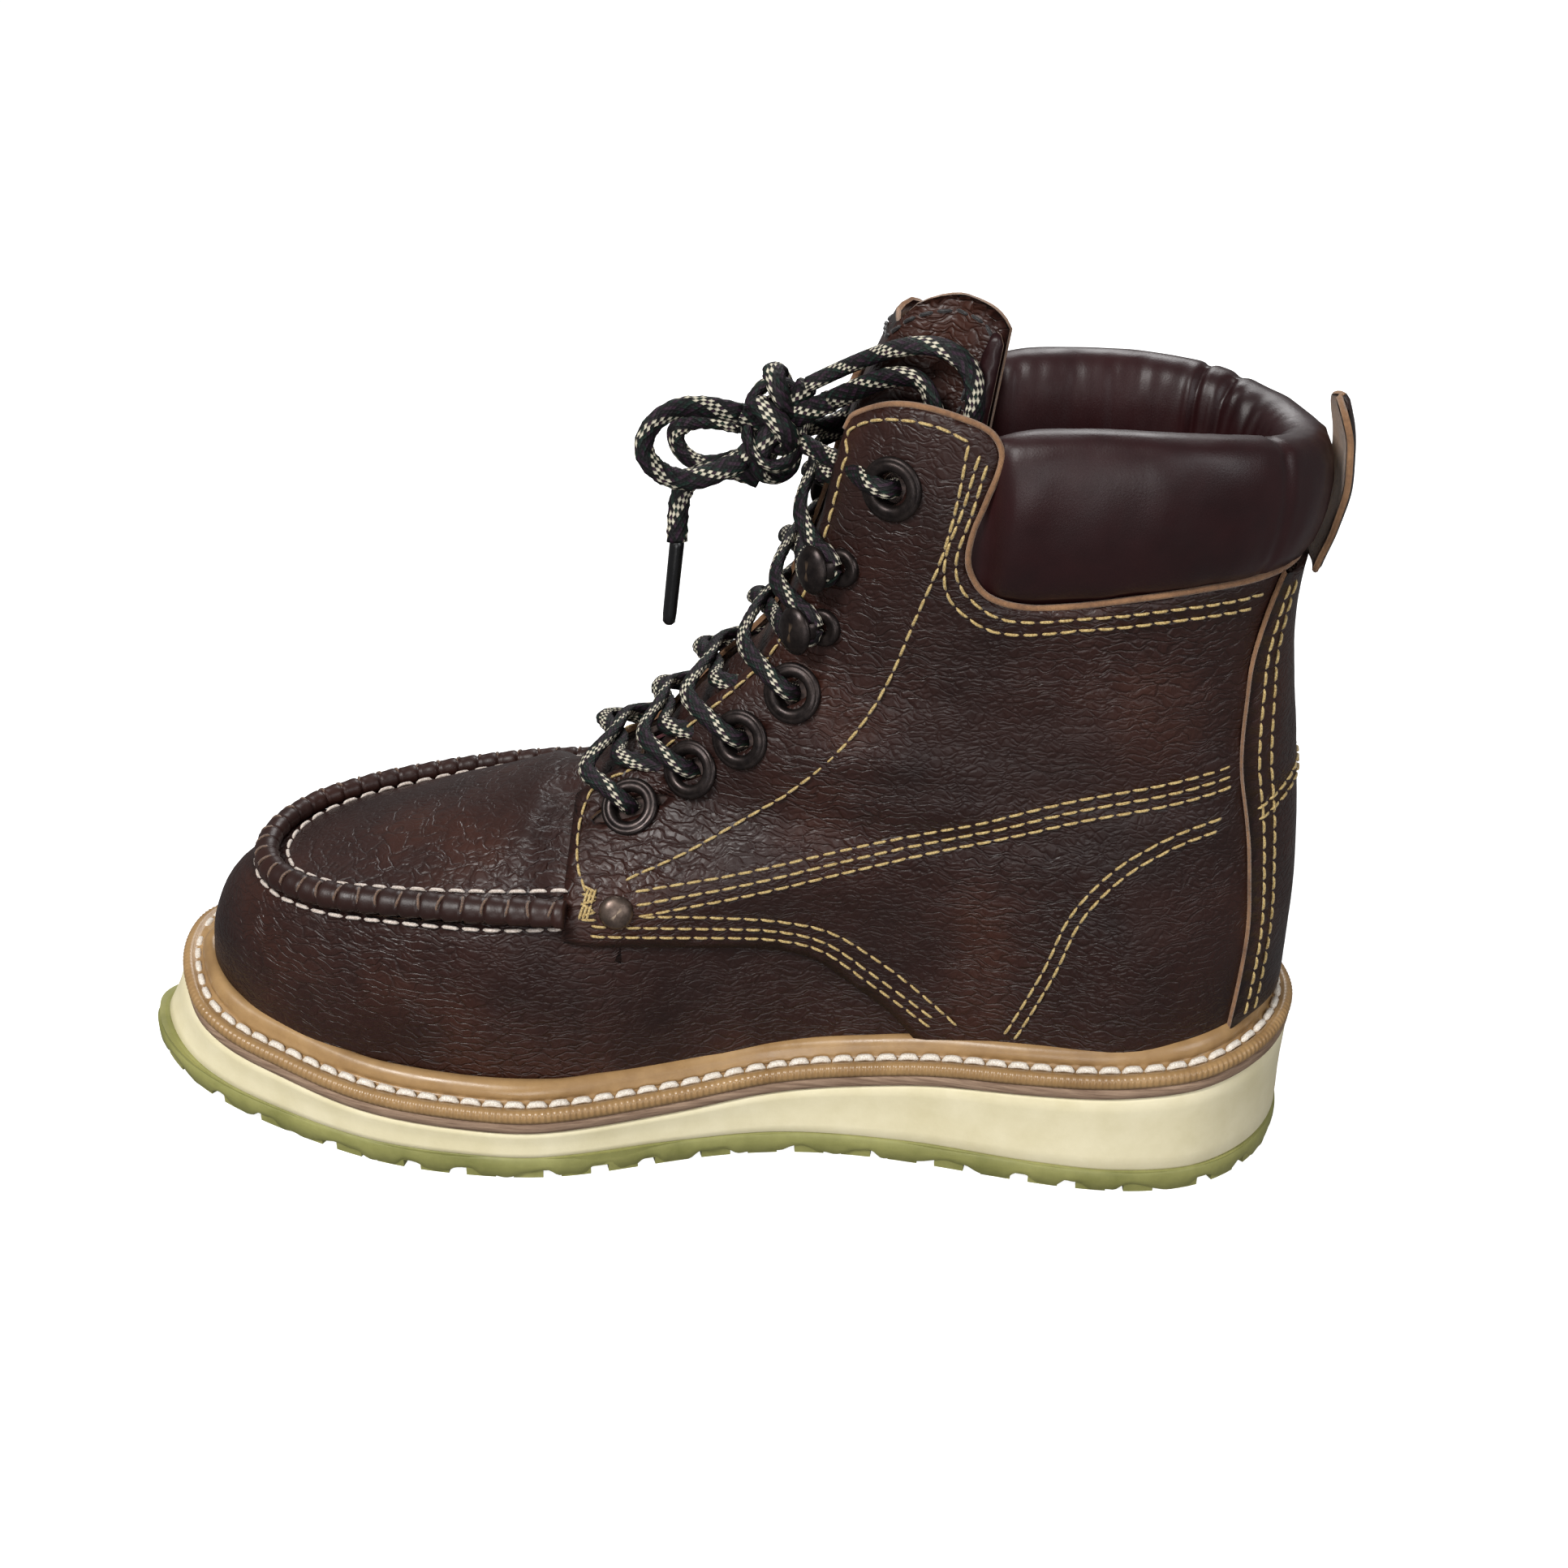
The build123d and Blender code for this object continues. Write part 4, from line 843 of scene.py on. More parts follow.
def seam_frame(count):
    """Evenly spaced points along the seam with their outward-and-up normals."""
    line = [seam_point(-1 + 2 * i / count) for i in range(count + 1)]
    line = resample(line, sum((b - a).length for a, b in zip(line, line[1:])) / count)
    normals = []
    for k, p in enumerate(line):
        tangent = tangent_at(line, k)
        outward = Vector((tangent.y, -tangent.x, 0))
        if outward.dot(Vector((p.x + 60, p.y, 0))) < 0:
            outward = -outward
        normals.append((outward * 0.75 + Vector((0, 0, 0.8))).normalized())
    return line, normals


PINCH = 5.6
ROLL_WIDTH, ROLL_HEIGHT = 3.5, 2.9


def raised_seam():
    """The middle of the roll, which stands a little proud of the seam."""
    line, normals = seam_frame(560)
    return [p + n * 1.3 for p, n in zip(line, normals)], normals


def build_moc_roll():
    """The rolled seam, nipped in by a stitch every few millimetres."""
    line, normals = raised_seam()

    def section(travelled):
        phase = (travelled / PINCH) % 1.0
        nip = math.exp(-((phase - 0.5) / 0.09) ** 2)
        swell = 1 + 0.04 * math.sin(math.tau * phase) - 0.15 * nip
        return oval(ROLL_WIDTH * swell, ROLL_HEIGHT * swell, 16)

    points, faces, uvs = tube(line, normals, section)
    piece = mesh_object("moc_seam_roll", points, faces, [ROLLED], uvs=uvs)
    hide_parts("moc_seam")


def build_pleat_threads():
    """Thread drawn over the rolled seam in each nip."""
    line, normals = raised_seam()
    rows, travelled, following = [], 0.0, PINCH / 2
    for k in range(1, len(line) - 1):
        travelled += (line[k] - line[k - 1]).length
        if travelled < following:
            continue
        following += PINCH
        tangent = (line[k + 1] - line[k - 1]).normalized()
        across = tangent.cross(normals[k]).normalized()
        row = []
        for j in range(9):
            turn = math.radians(22 + 17 * j)
            way = across * math.cos(turn) + normals[k] * math.sin(turn)
            lean = tangent * 0.5 * math.cos(turn * 2 + k)
            row.append((line[k] + lean + across * ROLL_WIDTH * 0.88 * math.cos(turn)
                        + normals[k] * ROLL_HEIGHT * 0.88 * math.sin(turn), way))
        rows.append(row)
    stitches("pleat_threads", rows, BROWN_THREAD, length=5.4, gap=0.3, radius=0.4, sink=0.1)


# ---------------------------------------------------------------- stitches
def stitches(name, rows, material, body="boot", length=4.1, gap=1.1, radius=0.45, sink=0.12):
    """Rows of sewn stitches: each row is a list of (point, normal), one bead per stitch."""
    points, faces = [], []
    rings, sides = 6, 6
    for row in rows:
        line = [p for p, _ in row]
        lengths = [0.0]
        for a, b in zip(line, line[1:]):
            lengths.append(lengths[-1] + (b - a).length)

        def at(distance):
            k = 0
            while k < len(lengths) - 2 and lengths[k + 1] < distance:
                k += 1
            share = (distance - lengths[k]) / max(lengths[k + 1] - lengths[k], 1e-6)
            return (row[k][0].lerp(row[k + 1][0], share),
                    row[k][1].lerp(row[k + 1][1], share).normalized())

        start, index = 0.3, 0
        while start + length < lengths[-1]:
            base = len(points)
            index += 1
            lean = 0.18 * noise.noise(Vector((start * 0.7, index * 1.3, radius)))
            for i in range(rings + 1):
                share = i / rings
                centre, normal = at(start + share * length)
                ahead, _ = at(min(start + share * length + 0.4, lengths[-1]))
                behind, _ = at(max(start + share * length - 0.4, 0))
                across = (ahead - behind).normalized().cross(normal).normalized()
                arch = math.sin(share * math.pi)
                size = radius * (0.35 + 0.65 * min(arch * 2.2, 1))
                rise = arch ** 0.5 * radius * 0.9 - sink
                middle = centre + normal * rise + across * lean * (share - 0.5) * 2
                for j in range(sides):
                    turn = j * math.tau / sides
                    points.append(middle + across * size * math.cos(turn)
                                  + normal * size * math.sin(turn))
            faces += ring_faces(rings + 1, sides, base)
            faces.append(tuple(base + j for j in reversed(range(sides))))
            faces.append(tuple(base + rings * sides + j for j in range(sides)))
            start += length + gap
    return mesh_object(name, points, faces, [material], body)


def side_row(points, side, lift, shift=0.0):
    """A row along given (x, z) points on one side, moved sideways by shift."""
    line = smooth_line([(x, z, 0) for x, z in points], 2.0)
    row = []
    for k, p in enumerate(line):
        tangent = tangent_at(line, k)
        x, z = p.x - tangent.y * shift, p.y + tangent.x * shift
        row.append(on_side(x, z, side, lift))
    return row


FRONT_ROW = [(-29.5, 75.5), (-32.4, 80), (-33.1, 86.3), (-31.4, 91.6)]
FLAP_TOP_ROW = [(30.4, 188), (31.8, 191), (37.5, 194.6), (45, 196), (51.7, 195.4), (57, 193.4)]
EYESTAY = [(57, 193), (55.4, 180), (52.5, 165.7), (47.7, 150.8), (41.1, 131.2), (32.1, 115.9),
           (14.8, 98), (-2.9, 85.7), (-21.5, 77.6)]
PAD_OUTER = [(59.5, 191), (56.6, 178), (53.4, 165.7), (55.2, 155.8), (66.3, 148.6), (88, 150.6),
             (106.2, 152.9), (126.5, 153.4)]
PAD_INNER = [(61.2, 189), (58.8, 178), (55.8, 165.2), (58.2, 158), (67.9, 151.9), (87.8, 153.5),
             (105.8, 155.8), (126.8, 156.4)]
RIVET_TO_BACK = [(-17.4, 73.4), (5.6, 77.4), (25.3, 82.6), (64, 95.6), (92, 104.6), (124.5, 111)]
RIVET_TO_WELT = [(-28.5, 66.3), (-4.2, 64), (15.7, 62.3), (27.8, 59), (38.3, 51.6), (48.8, 44.1),
                 (58, 37.5)]
WELT_TOP_ROW = [(-16.5, 70.8), (2, 69.4), (17.6, 67.7), (30.5, 64.4), (41.8, 57.4), (52.9, 49),
                (65, 38.6)]
COUNTER_ROW = [(76.4, 38.5), (80, 47), (85.1, 60.2), (90.2, 75.8), (100.2, 89.2), (112.2, 96.6),
               (123.6, 99.6)]
BAR_TACK = (-28.6, 73.6)


def build_side_stitches():
    for side, name in SIDES:
        on_quarter = QUARTER_LIFT + 0.1
        rows = [side_row(EYESTAY, side, on_quarter), side_row(PAD_OUTER, side, on_quarter),
                side_row(PAD_INNER, side, on_quarter), side_row(WELT_TOP_ROW, side, on_quarter)]
        for shift in (-2.7, 0, 2.7):
            rows.append(side_row(RIVET_TO_BACK, side, on_quarter, shift))
        for shift in (0, 2.6):
            rows.append(side_row(RIVET_TO_WELT, side, on_quarter, shift))
        for shift in (-1.4, 1.4):
            rows.append(side_row(COUNTER_ROW, side, on_quarter, shift))
        edge = [(flap_edge_x(z, side) + 2.5, z) for z in range(94, 188, 4)]
        rows.append(side_row(FRONT_ROW + edge + FLAP_TOP_ROW, side, on_quarter))
        stitches(f"gold_stitches_{name}", rows, GOLD, length=3.7, gap=0.55, radius=0.37)
        tack = []
        for k in range(6):
            lean = 0.9 * math.sin(k * 2.4)
            tack.append([on_side(BAR_TACK[0] + a, BAR_TACK[1] - 3 + k * 1.1 + lean * a * 0.45, side,
                                 on_quarter + 0.15) for a in (-2.3, -1.1, 0, 1.1, 2.3)])
        for k in range(3):
            tack.append([on_side(BAR_TACK[0] - 1.2 + k * 0.9 + 0.35 * a, BAR_TACK[1] + a, side,
                                 on_quarter + 0.45) for a in (-3.2, -1.6, 0, 1.6, 3.2)])
        stitches(f"bar_tack_{name}", tack, GOLD, length=3.9, gap=0.2, radius=0.36)


def wall_nearest(p, height):
    """The s at which the toe wall passes nearest to a point, at the given height."""
    best, step = 0.0, 1 / 24
    tries = range(-24, 25)
    for _ in range(4):
        best = min((best + k * step for k in tries),
                   key=lambda s: (ring_surface(height, max(min(s, 1), -1), WALL_REAR_X, True).xy
                                  - p.xy).length)
        tries, step = range(-4, 5), step / 4
    return max(min(best, 0.995), -0.995)


def wall_under_seam(p, reach):
    """Point and normal of the toe wall at a reach from a point of the seam, below it."""
    low, high = 0.0, reach
    for _ in range(6):
        drop = (low + high) / 2
        s = wall_nearest(p, p.z - drop)
        point, normal = lifted(lambda a, b: ring_surface(b, a, WALL_REAR_X, True), s, p.z - drop,
                               WALL_LIFT + 0.15, from_core)
        if (point - p).length < reach:
            low = drop
        else:
            high = drop
    return point, normal


def row_beside_seam(sign, offset):
    """White stitches beside the moc seam, on the wall (-1) or on the plug (1)."""
    line, _ = seam_frame(240)
    row = []
    for k, p in enumerate(line):
        tangent = tangent_at(line, k)
        inward = Vector((-tangent.y, tangent.x, 0))
        if inward.dot(Vector((-60 - p.x, -p.y, 0))) < 0:
            inward = -inward
        if sign > 0:
            q = p + inward * offset
            y = q.y - centre_line(q.x)
            height = plug_height(q.x, y)
            row.append((Vector((q.x, q.y, height + WALL_LIFT + 0.1)),
                        (inward * -0.35 + Vector((0, 0, 1))).normalized()))
        else:
            row.append(wall_under_seam(p, offset))
    return row


RIM_TOE = (-147.6, 3)
RIM_MEDIAL = [(-143.2, -13), (-133.5, -27.5), (-111, -39.6)] + SOLE_MEDIAL[3:]
RIM_LATERAL = SOLE_LATERAL[:-3] + [(-115, 39.5), (-137, 29.5), (-146.2, 18)]


SOLE_POINTS = 800


def sole_line(share, count=SOLE_POINTS, grow=0.0):
    """Points round the sole with outward directions, from the tread (0) to the welt (1)."""
    low = [SOLE_TOE, *SOLE_MEDIAL, SOLE_HEEL, *SOLE_LATERAL]
    high = [RIM_TOE, *RIM_MEDIAL, SOLE_HEEL, *RIM_LATERAL]
    route = [(a[0] + (b[0] - a[0]) * share, a[1] + (b[1] - a[1]) * share, 0)
             for a, b in zip(low, high)]
    line = resample(smooth_line(route, 1.0, closed=True), 1, closed=True, count=count)
    result = []
    for k, p in enumerate(line):
        tangent = (line[(k + 1) % count] - line[k - 1]).normalized()
        outward = Vector((tangent.y, -tangent.x, 0))
        result.append((p + outward * grow, outward))
    return result


def ring_stack(name, levels, materials, node=None):
    """Rings of the sole's outline, each (share, inset, height); with no node, an open band."""
    points = []
    for share, inset, height in levels:
        for k, (p, outward) in enumerate(sole_line(share)):
            q = p - outward * inset
            points.append(Vector((q.x, q.y, height(q.x, k))))
    faces = ring_faces(len(levels), SOLE_POINTS)
    if node:
        last = (len(levels) - 1) * SOLE_POINTS
        faces += [tuple(reversed(range(SOLE_POINTS))), tuple(range(last, last + SOLE_POINTS))]
    piece = mesh_object(name, points, faces, materials)
    if node:
        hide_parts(node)


def tread_edge(k):
    """How far the worn edge of the tread lifts off the ground, in uneven lumps."""
    turn = k * math.tau / SOLE_POINTS
    wander = 1.3 * math.sin(turn * 5) + 0.9 * math.sin(turn * 13 + 1)
    lumps = math.sin(k * math.tau / 20 + wander)
    return 0.15 + 1.0 * (1 + math.tanh(2.6 * (lumps - 0.25))) + 0.25 * math.sin(k * 0.9 + wander)


def build_wedge():
    low = lambda x, k: tread_height(x) + OUTSOLE + 0.05
    high = lambda x, k: between(WEDGE_TOP, x)
    mixed = lambda share: lambda x, k: low(x, k) * (1 - share) + high(x, k) * share
    levels = [(0.3, 0.7, low), (0.3, 0.15, mixed(0.04))]
    for share in (0.2, 0.4, 0.6, 0.8):
        hollow = 0.5 * math.sin(share * math.pi)
        levels.append((0.3 + share * 0.6, hollow - 0.1, mixed(share)))
    levels += [(0.97, 0.1, mixed(0.96)), (1, 0.6, high)]
    ring_stack("wedge_foam", levels, [CREAM], "wedge_midsole")
    foot = lambda rise: lambda x, k: tread_height(x) + tread_edge(k) + rise
    under = lambda drop: lambda x, k: tread_height(x) + OUTSOLE - drop
    ring_stack("tread_edge_band", [(0, 3.0, foot(0.3)), (0, 0.2, foot(0)), (0, -0.45, foot(0.5)),
                                   (0, -0.5, under(2.2)), (0.1, -0.3, under(0.6)),
                                   (0.2, 0.2, under(-0.2)), (0.2, 1.2, under(-0.25))],
               [OLIVE])
    top = lambda rise: lambda x, k: between(WEDGE_TOP, x) + rise
    ring_stack("midsole_strip", [(1, 0.5, top(0.02)), (1, -0.15, top(0.5)), (1, -0.3, top(1.6)),
                                 (1, -0.15, top(2.8)), (1, 0.5, top(3.15))],
               [TAUPE], "rubber_midsole")


WELT_COLUMNS = 1800


def build_welt():
    """The storm welt: ribbed outer edge, sewn flat, and the bead against the leather."""
    columns = sole_line(1, WELT_COLUMNS)
    profile = [(-9.2, -3.2), (-0.5, -3.2), (0.15, -2.9), (0.45, -2.0), (0.4, -0.9), (-0.1, -0.1),
               (-0.9, 0.25), (-2.0, 0.15), (-2.5, -0.5), (-4.3, -0.5), (-4.8, 0.1),
               (-5.4, 0.35)]
    bead = [(-1.5, 0.9), (-1.1, 2.3), (-0.2, 3.6), (1.1, 4.4), (2.6, 4.5), (4.2, 3.4), (5.3, 1.0),
            (5.3, -3.2)]
    points = []
    feet = upper_ring(columns)
    sides = len(profile) + len(bead)
    for k, (p, outward) in enumerate(columns):
        base = between(WEDGE_TOP, p.x) + WELT_TOP
        foot = feet[k]
        inward = Vector((foot.x - p.x, foot.y - p.y, 0))
        gap = inward.length
        inward.normalize()
        rib = 0.22 * math.cos(k * math.tau / 4)
        for a, b in profile:
            ribbed = rib if -1.2 < a < 1 and b > -2.5 else 0
            reach = a * min((gap + 1.5) / 9.2, 1.0) if a < -5 else a
            points.append(p + outward * (reach + ribbed) + Vector((0, 0, base + b)))
        for a, b in bead:
            q = p + inward * max(gap - 2.6 + a, 5.0 + (a + 1.5) * 0.8)
            points.append(Vector((q.x, q.y, base + b)))
    piece = mesh_object("storm_welt_rubber", points, ring_faces(len(columns), sides, closed=True),
                        [WELT_RUBBER])
    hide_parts("storm_welt")


def upper_ring(columns):
    """For each point of the sole's edge, the nearest point of the upper at the welt."""
    ring = [ring_surface(34, -1 + 2 * i / 400, 5, True) for i in range(400)]
    ring += [ring_surface(34, 1 - 2 * i / 400, 5, False) for i in range(400)]
    result, count = [], len(columns)
    for p, _ in columns:
        best = min(ring, key=lambda q: (q.x - p.x) ** 2 + (q.y - p.y) ** 2)
        result.append(Vector((best.x, best.y, 0)))
    smooth = []
    for k in range(count):
        window = [result[(k + d) % count] for d in range(-14, 15)]
        smooth.append(sum(window, Vector((0, 0, 0))) / len(window))
    return smooth


def build_welt_stitches():
    row = []
    for p, _ in sole_line(1, 400, -3.4):
        row.append((Vector((p.x, p.y, between(WEDGE_TOP, p.x) + WELT_TOP - 0.4)),
                    Vector((0, 0, 1))))
    row.append(row[0])
    stitches("welt_stitches", [row], WELT_THREAD, length=5.3, gap=0.35, radius=0.92, sink=0.0)


build_quarters()
build_cut_edges()
build_wall()
build_plug()
build_moc_roll()
build_pleat_threads()
build_wedge()
build_welt()
build_side_stitches()
stitches("moc_stitches", [row_beside_seam(-1, 4.6), row_beside_seam(1, 4.6)], WHITE, length=4.4,
         gap=0.9, radius=0.5)
build_welt_stitches()


# ---------------------------------------------------------------- heel strip and collar
BACKSTAY_HALF = [(36, 28), (60, 26), (90, 25), (120, 23.5), (140, 21.5), (162, 18.5)]
HEEL_END = 54.0
HEEL_STRETCH = 80.0


def heel_surface(s, z):
    return ring_surface(z, s, HEEL_END, False)


def heel_s(y, z):
    """Where on the heel's outline the surface is y to the side."""
    side = -1 if y < 0 else 1
    middle = centre_line(140)
    return side * search(0.0, 0.9, lambda s: abs(heel_surface(side * s, z).y - middle) < abs(y))


def build_backstay():
    heights = [bottom_z(145) + 1 + k * 3 for k in range(41)]
    right = [(heel_s(between(BACKSTAY_HALF, z), z) * HEEL_STRETCH, z) for z in heights]
    left = [(heel_s(-between(BACKSTAY_HALF, z), z) * HEEL_STRETCH, z) for z in reversed(heights)]
    piece = panel("backstay_leather", right + left, heel_surface, BACKSTAY_LIFT, LEATHER,
                  [UPPER, EDGE], stretch=HEEL_STRETCH,
                  relief=lambda s, z: 0.35 * noise.noise(Vector((s * 9, z * 0.06, 7))))
    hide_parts("backstay")
    rows = []
    for side in (-1, 1):
        for inset in (2.6, 5.4):
            row = []
            for z in heights[1:-1]:
                y = side * (between(BACKSTAY_HALF, z) - inset)
                row.append(lifted(heel_surface, heel_s(y, z), z, BACKSTAY_LIFT + 0.1, from_core))
            rows.append(row)
    for shift in (-1.4, 1.4):
        row = []
        for k in range(-23, 24, 2):
            z = 105.5 - 0.011 * k * k + shift
            row.append(lifted(heel_surface, heel_s(k + 0.01, z), z, BACKSTAY_LIFT + 0.1, from_core))
        rows.append(row)
    stitches("gold_stitches_back", rows, GOLD, length=3.7, gap=0.55, radius=0.37)


COLLAR_TOP = [(52, 191), (60, 192.5), (72, 195), (95, 195.6), (118, 194), (136, 190.5), (150, 189)]
COLLAR_LOW = [(52, 160), (59, 156), (66, 149.5), (82, 149), (96, 151.5), (111, 153.5),
              (128, 154.5), (145, 155)]
# The collar's cross section: outward from the upper's surface, and height as a share.
COLLAR_SECTION = [(-1.9, 0.0), (-1.7, 0.1), (-1.2, 0.16), (1.0, 0.2), (2.7, 0.31), (3.5, 0.48),
                  (3.6, 0.68), (2.7, 0.85), (0.9, 0.965), (-1.6, 1.01), (-4.6, 1.02),
                  (-7.6, 1.0), (-10.2, 0.94), (-12.0, 0.82), (-12.8, 0.64), (-12.9, 0.42),
                  (-12.2, 0.18), (-10.6, 0.0), (-8.0, -0.08), (-3.5, -0.06)]


def build_collar():
    columns, sides = 220, len(COLLAR_SECTION) * 2
    profile = []
    for k in range(sides):
        a, b = COLLAR_SECTION[k // 2], COLLAR_SECTION[(k // 2 + 1) % len(COLLAR_SECTION)]
        profile.append(((a[0] + b[0]) / 2, (a[1] + b[1]) / 2) if k % 2 else a)
    points = []
    for i in range(columns + 1):
        s = -0.985 + 1.97 * i / columns
        x = heel_surface(s, 180).x
        low, top = between(COLLAR_LOW, x), between(COLLAR_TOP, x)
        top -= 0.6 * smooth_step(x, 134, 139)
        for out, rise in profile:
            z = low + rise * (top - low)
            at, normal = lifted(heel_surface, s, min(z, 200), 0, from_core)
            flat = Vector((normal.x, normal.y, 0)).normalized()
            inner = smooth_step(-out, 3, 10)
            pleat = sum(1.5 * math.exp(-((s - place) / width) ** 2) * (0.4 + 0.6 * inner)
                        for place, width in ((0.47, 0.012), (0.38, 0.018), (-0.36, 0.016)))
            swell = 0.5 * noise.noise(Vector((s * 16, z * 0.07, 0.2 * out)))
            swell += inner * 0.7 * noise.noise(Vector((s * 34, z * 0.05, 5)))
            thin = 1 - 0.55 * smooth_step(abs(s), 0.9, 0.985)
            covered = 1 - smooth_step(x, 60.5, 67.5)
            out += covered * (min(out, -1.9) - out)
            distance = out * thin + (swell - pleat if out > -5 else pleat - swell)
            points.append(Vector((at.x, at.y, z - (pleat if 0.9 < rise else 0))) + flat * distance)
    faces = ring_faces(columns + 1, sides)
    faces += [tuple(range(sides)), tuple(columns * sides + j for j in reversed(range(sides)))]
    piece = mesh_object("collar_cushion", points, faces, [COLLAR])
    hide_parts("collar_pad")


TAB_LINE = [(141.3, 157), (141.9, 159.5), (144.2, 167), (145.8, 176), (145.2, 187), (142.6, 197)]
TAB_HALF_WIDTH = 9.5


def build_pull_tab():
    line = smooth_line([(x, 0, z) for x, z in TAB_LINE], 1.2)
    columns, rows = len(line) - 1, 14

    def place(k, j):
        tangent = tangent_at(line, k)
        normal = Vector((tangent.z, 0, -tangent.x))
        left = (line[-1] - line[k]).length
        half = TAB_HALF_WIDTH * math.sqrt(max(1 - max(1 - left / 7.5, 0) ** 2, 0.03))
        share = j / rows * 2 - 1
        curl = 1.1 * share * share + 0.4 * noise.noise(Vector((k * 0.12, share * 2, 1)))
        return line[k] + Vector((0, share * half, 0)) + normal * (1.1 - curl), normal

    piece = grid_sheet("pull_tab_strip", columns, rows, place, 2.4, [UPPER, FLESH],
                       "pull_tab", roundness=0.45)
    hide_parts("pull_tab")


# ---------------------------------------------------------------- tongue and linings
TONGUE_END = 66.0
TONGUE_SWING = 0.88
TONGUE_TOP = [(26, 197), (31, 203), (36.7, 208.8), (44.3, 217), (54.8, 219.8), (67.6, 216.7)]
WING_DEPTH = [(100, 7.4), (120, 7.4), (150, 12.8), (216, 12.8)]
TONGUE_STRETCH = 60.0


def tongue_surface(s, z, deeper=0.0):
    depth = 3.6 + (between(WING_DEPTH, z) - 3.6) * smooth_step(abs(s), 0.08, 0.42) + deeper
    return lifted(lambda a, b: ring_surface(b, a, TONGUE_END, True), s, z, -depth, from_core)[0]


def tongue_top(s):
    """Height, before the wing is set in, at which the tongue's top edge lies."""
    z = 205.0
    for _ in range(12):
        place = tongue_surface(s, z)
        z += 0.6 * (between(TONGUE_TOP, place.x) - place.z)
    return z - 16 * smooth_step(s, 0.02, 0.5)


def tongue_outline(inset, low):
    """The tongue's outline in (s * stretch, z), moved in from its edges."""
    swing = TONGUE_SWING - inset / TONGUE_STRETCH * 1.4
    near, far = (int(tongue_top(side * swing) - inset * 1.1) - 7 for side in (-1, 1))
    rising = [(-swing * TONGUE_STRETCH, z) for z in range(int(low), near, 4)]
    across = []
    for k in range(41):
        s = swing * (k / 20 - 1)
        across.append((s * TONGUE_STRETCH, tongue_top(s) - inset * 1.1 - 3 * (abs(s) / swing) ** 12))
    falling = [(swing * TONGUE_STRETCH, z) for z in range(far, int(low), -4)]
    return rising + across + falling


def build_tongue():
    wave = lambda s, z: 0.45 * noise.noise(Vector((s * 6, z * 0.05, 2)))
    face = panel("tongue_leather", tongue_outline(0, 105), tongue_surface, 0, LEATHER,
                 [UPPER, EDGE], "tongue", stretch=TONGUE_STRETCH, relief=wave)
    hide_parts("tongue")
    back = panel("tongue_lining", tongue_outline(1.5, 108),
                 lambda s, z: tongue_surface(s, z, 2.1), 0, 2.4, [LINING, LINING],
                 "tongue", stretch=TONGUE_STRETCH)
    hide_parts("tongue_pad")
    rows = [[lifted(tongue_surface, u / TONGUE_STRETCH, z, 0.1, from_core)
             for u, z in flat_line(tongue_outline(3.2, 120), 1.6)]]
    for side in (-1, 1):
        u = side * (TONGUE_SWING * TONGUE_STRETCH - 10)
        rows.append([lifted(tongue_surface, u / TONGUE_STRETCH, z, 0.1, from_core)
                     for z in range(150, 211 if side < 0 else 192, 2)])
    stitches("black_stitches_tongue", rows, BLACK_THREAD, body="tongue", length=3.4, gap=0.9,
             radius=0.4)
    for side, name in SIDES:
        edge = TONGUE_SWING * TONGUE_STRETCH - (0.6 if side < 0 else 2.6)
        low, high = (edge - 6.5) * side, edge * side
        top = 214 if side < 0 else 194
        strip = [(low, z) for z in range(130, top, 3)]
        strip += [((low * 3 + high) / 4, top + 1.5), ((low + high) / 2, top + 1.8),
                  ((low + high * 3) / 4, top + 1.2)]
        strip += [(high, z) for z in range(top - 1, 129, -3)]
        lift = 1.3 if side < 0 else 0.4
        panel(f"tongue_binding_{name}", strip, tongue_surface, lift, lift, [COLLAR, EDGE],
              "tongue", stretch=TONGUE_STRETCH, spacing=2.2)


def inner_outline(side, drop):
    """Outline of a quarter's lining, a little inside the leather's edge."""
    top = [(x, z - drop) for x, z in flat_line(QUARTER_TOP, 3)]
    back = [(side_range(z)[1] - 2, z) for z in range(160, 46, -4)]
    floor = [(x, bottom_z(x) + 4) for x in range(136, -66, -5)]
    front = [(flap_edge_x(z, side) + 1.5 if z > 74 else -58 + 0.5 * (z - 40), z)
             for z in range(40, 190, 4)]
    return to_domain(floor + front + top + back)[::-1]


def build_linings():
    for side, name in SIDES:
        for kind, lift, thick, look, slot in (("foam", -1.5, 2.0, FOOTBED, "foam"),
                                              ("lining", -4.4, 1.2, LINING, "lining_cloth")):
            piece = panel(f"quarter_{kind}_cloth_{name}", inner_outline(side, 1.2),
                          lambda s, z, side=side: side_surface(s, z, side), lift, thick,
                          [look, look], stretch=STRETCH, spacing=4.0)
            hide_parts(f"quarter_{kind}_{name}")


FOOTBED_TOE, FOOTBED_LENGTH = -124, 254
FOOTBED_RISE, FOOTBED_THICK = 6.7, 4.2


def build_footbed():
    columns, rows = 90, 16

    def place(i, j):
        x = FOOTBED_TOE + FOOTBED_LENGTH * i / columns
        base = between(WEDGE_TOP, x) + WELT_TOP + FOOTBED_RISE
        share = j / rows * 2 - 1
        width = half_width(x, base + 3, -1 if share < 0 else 1) - 7
        y = centre_line(x) + share * width
        cup = 1.6 * abs(share) ** 3 * smooth_step(x, 20, 80)
        soft = 0.25 * noise.noise(Vector((x * 0.09, y * 0.09, 4)))
        return Vector((x, y, base + cup + soft)), Vector((0, 0, 1))

    piece = grid_sheet("footbed_cushion", columns, rows, place, FOOTBED_THICK,
                       [FOOTBED, FOOTBED])
    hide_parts("footbed")


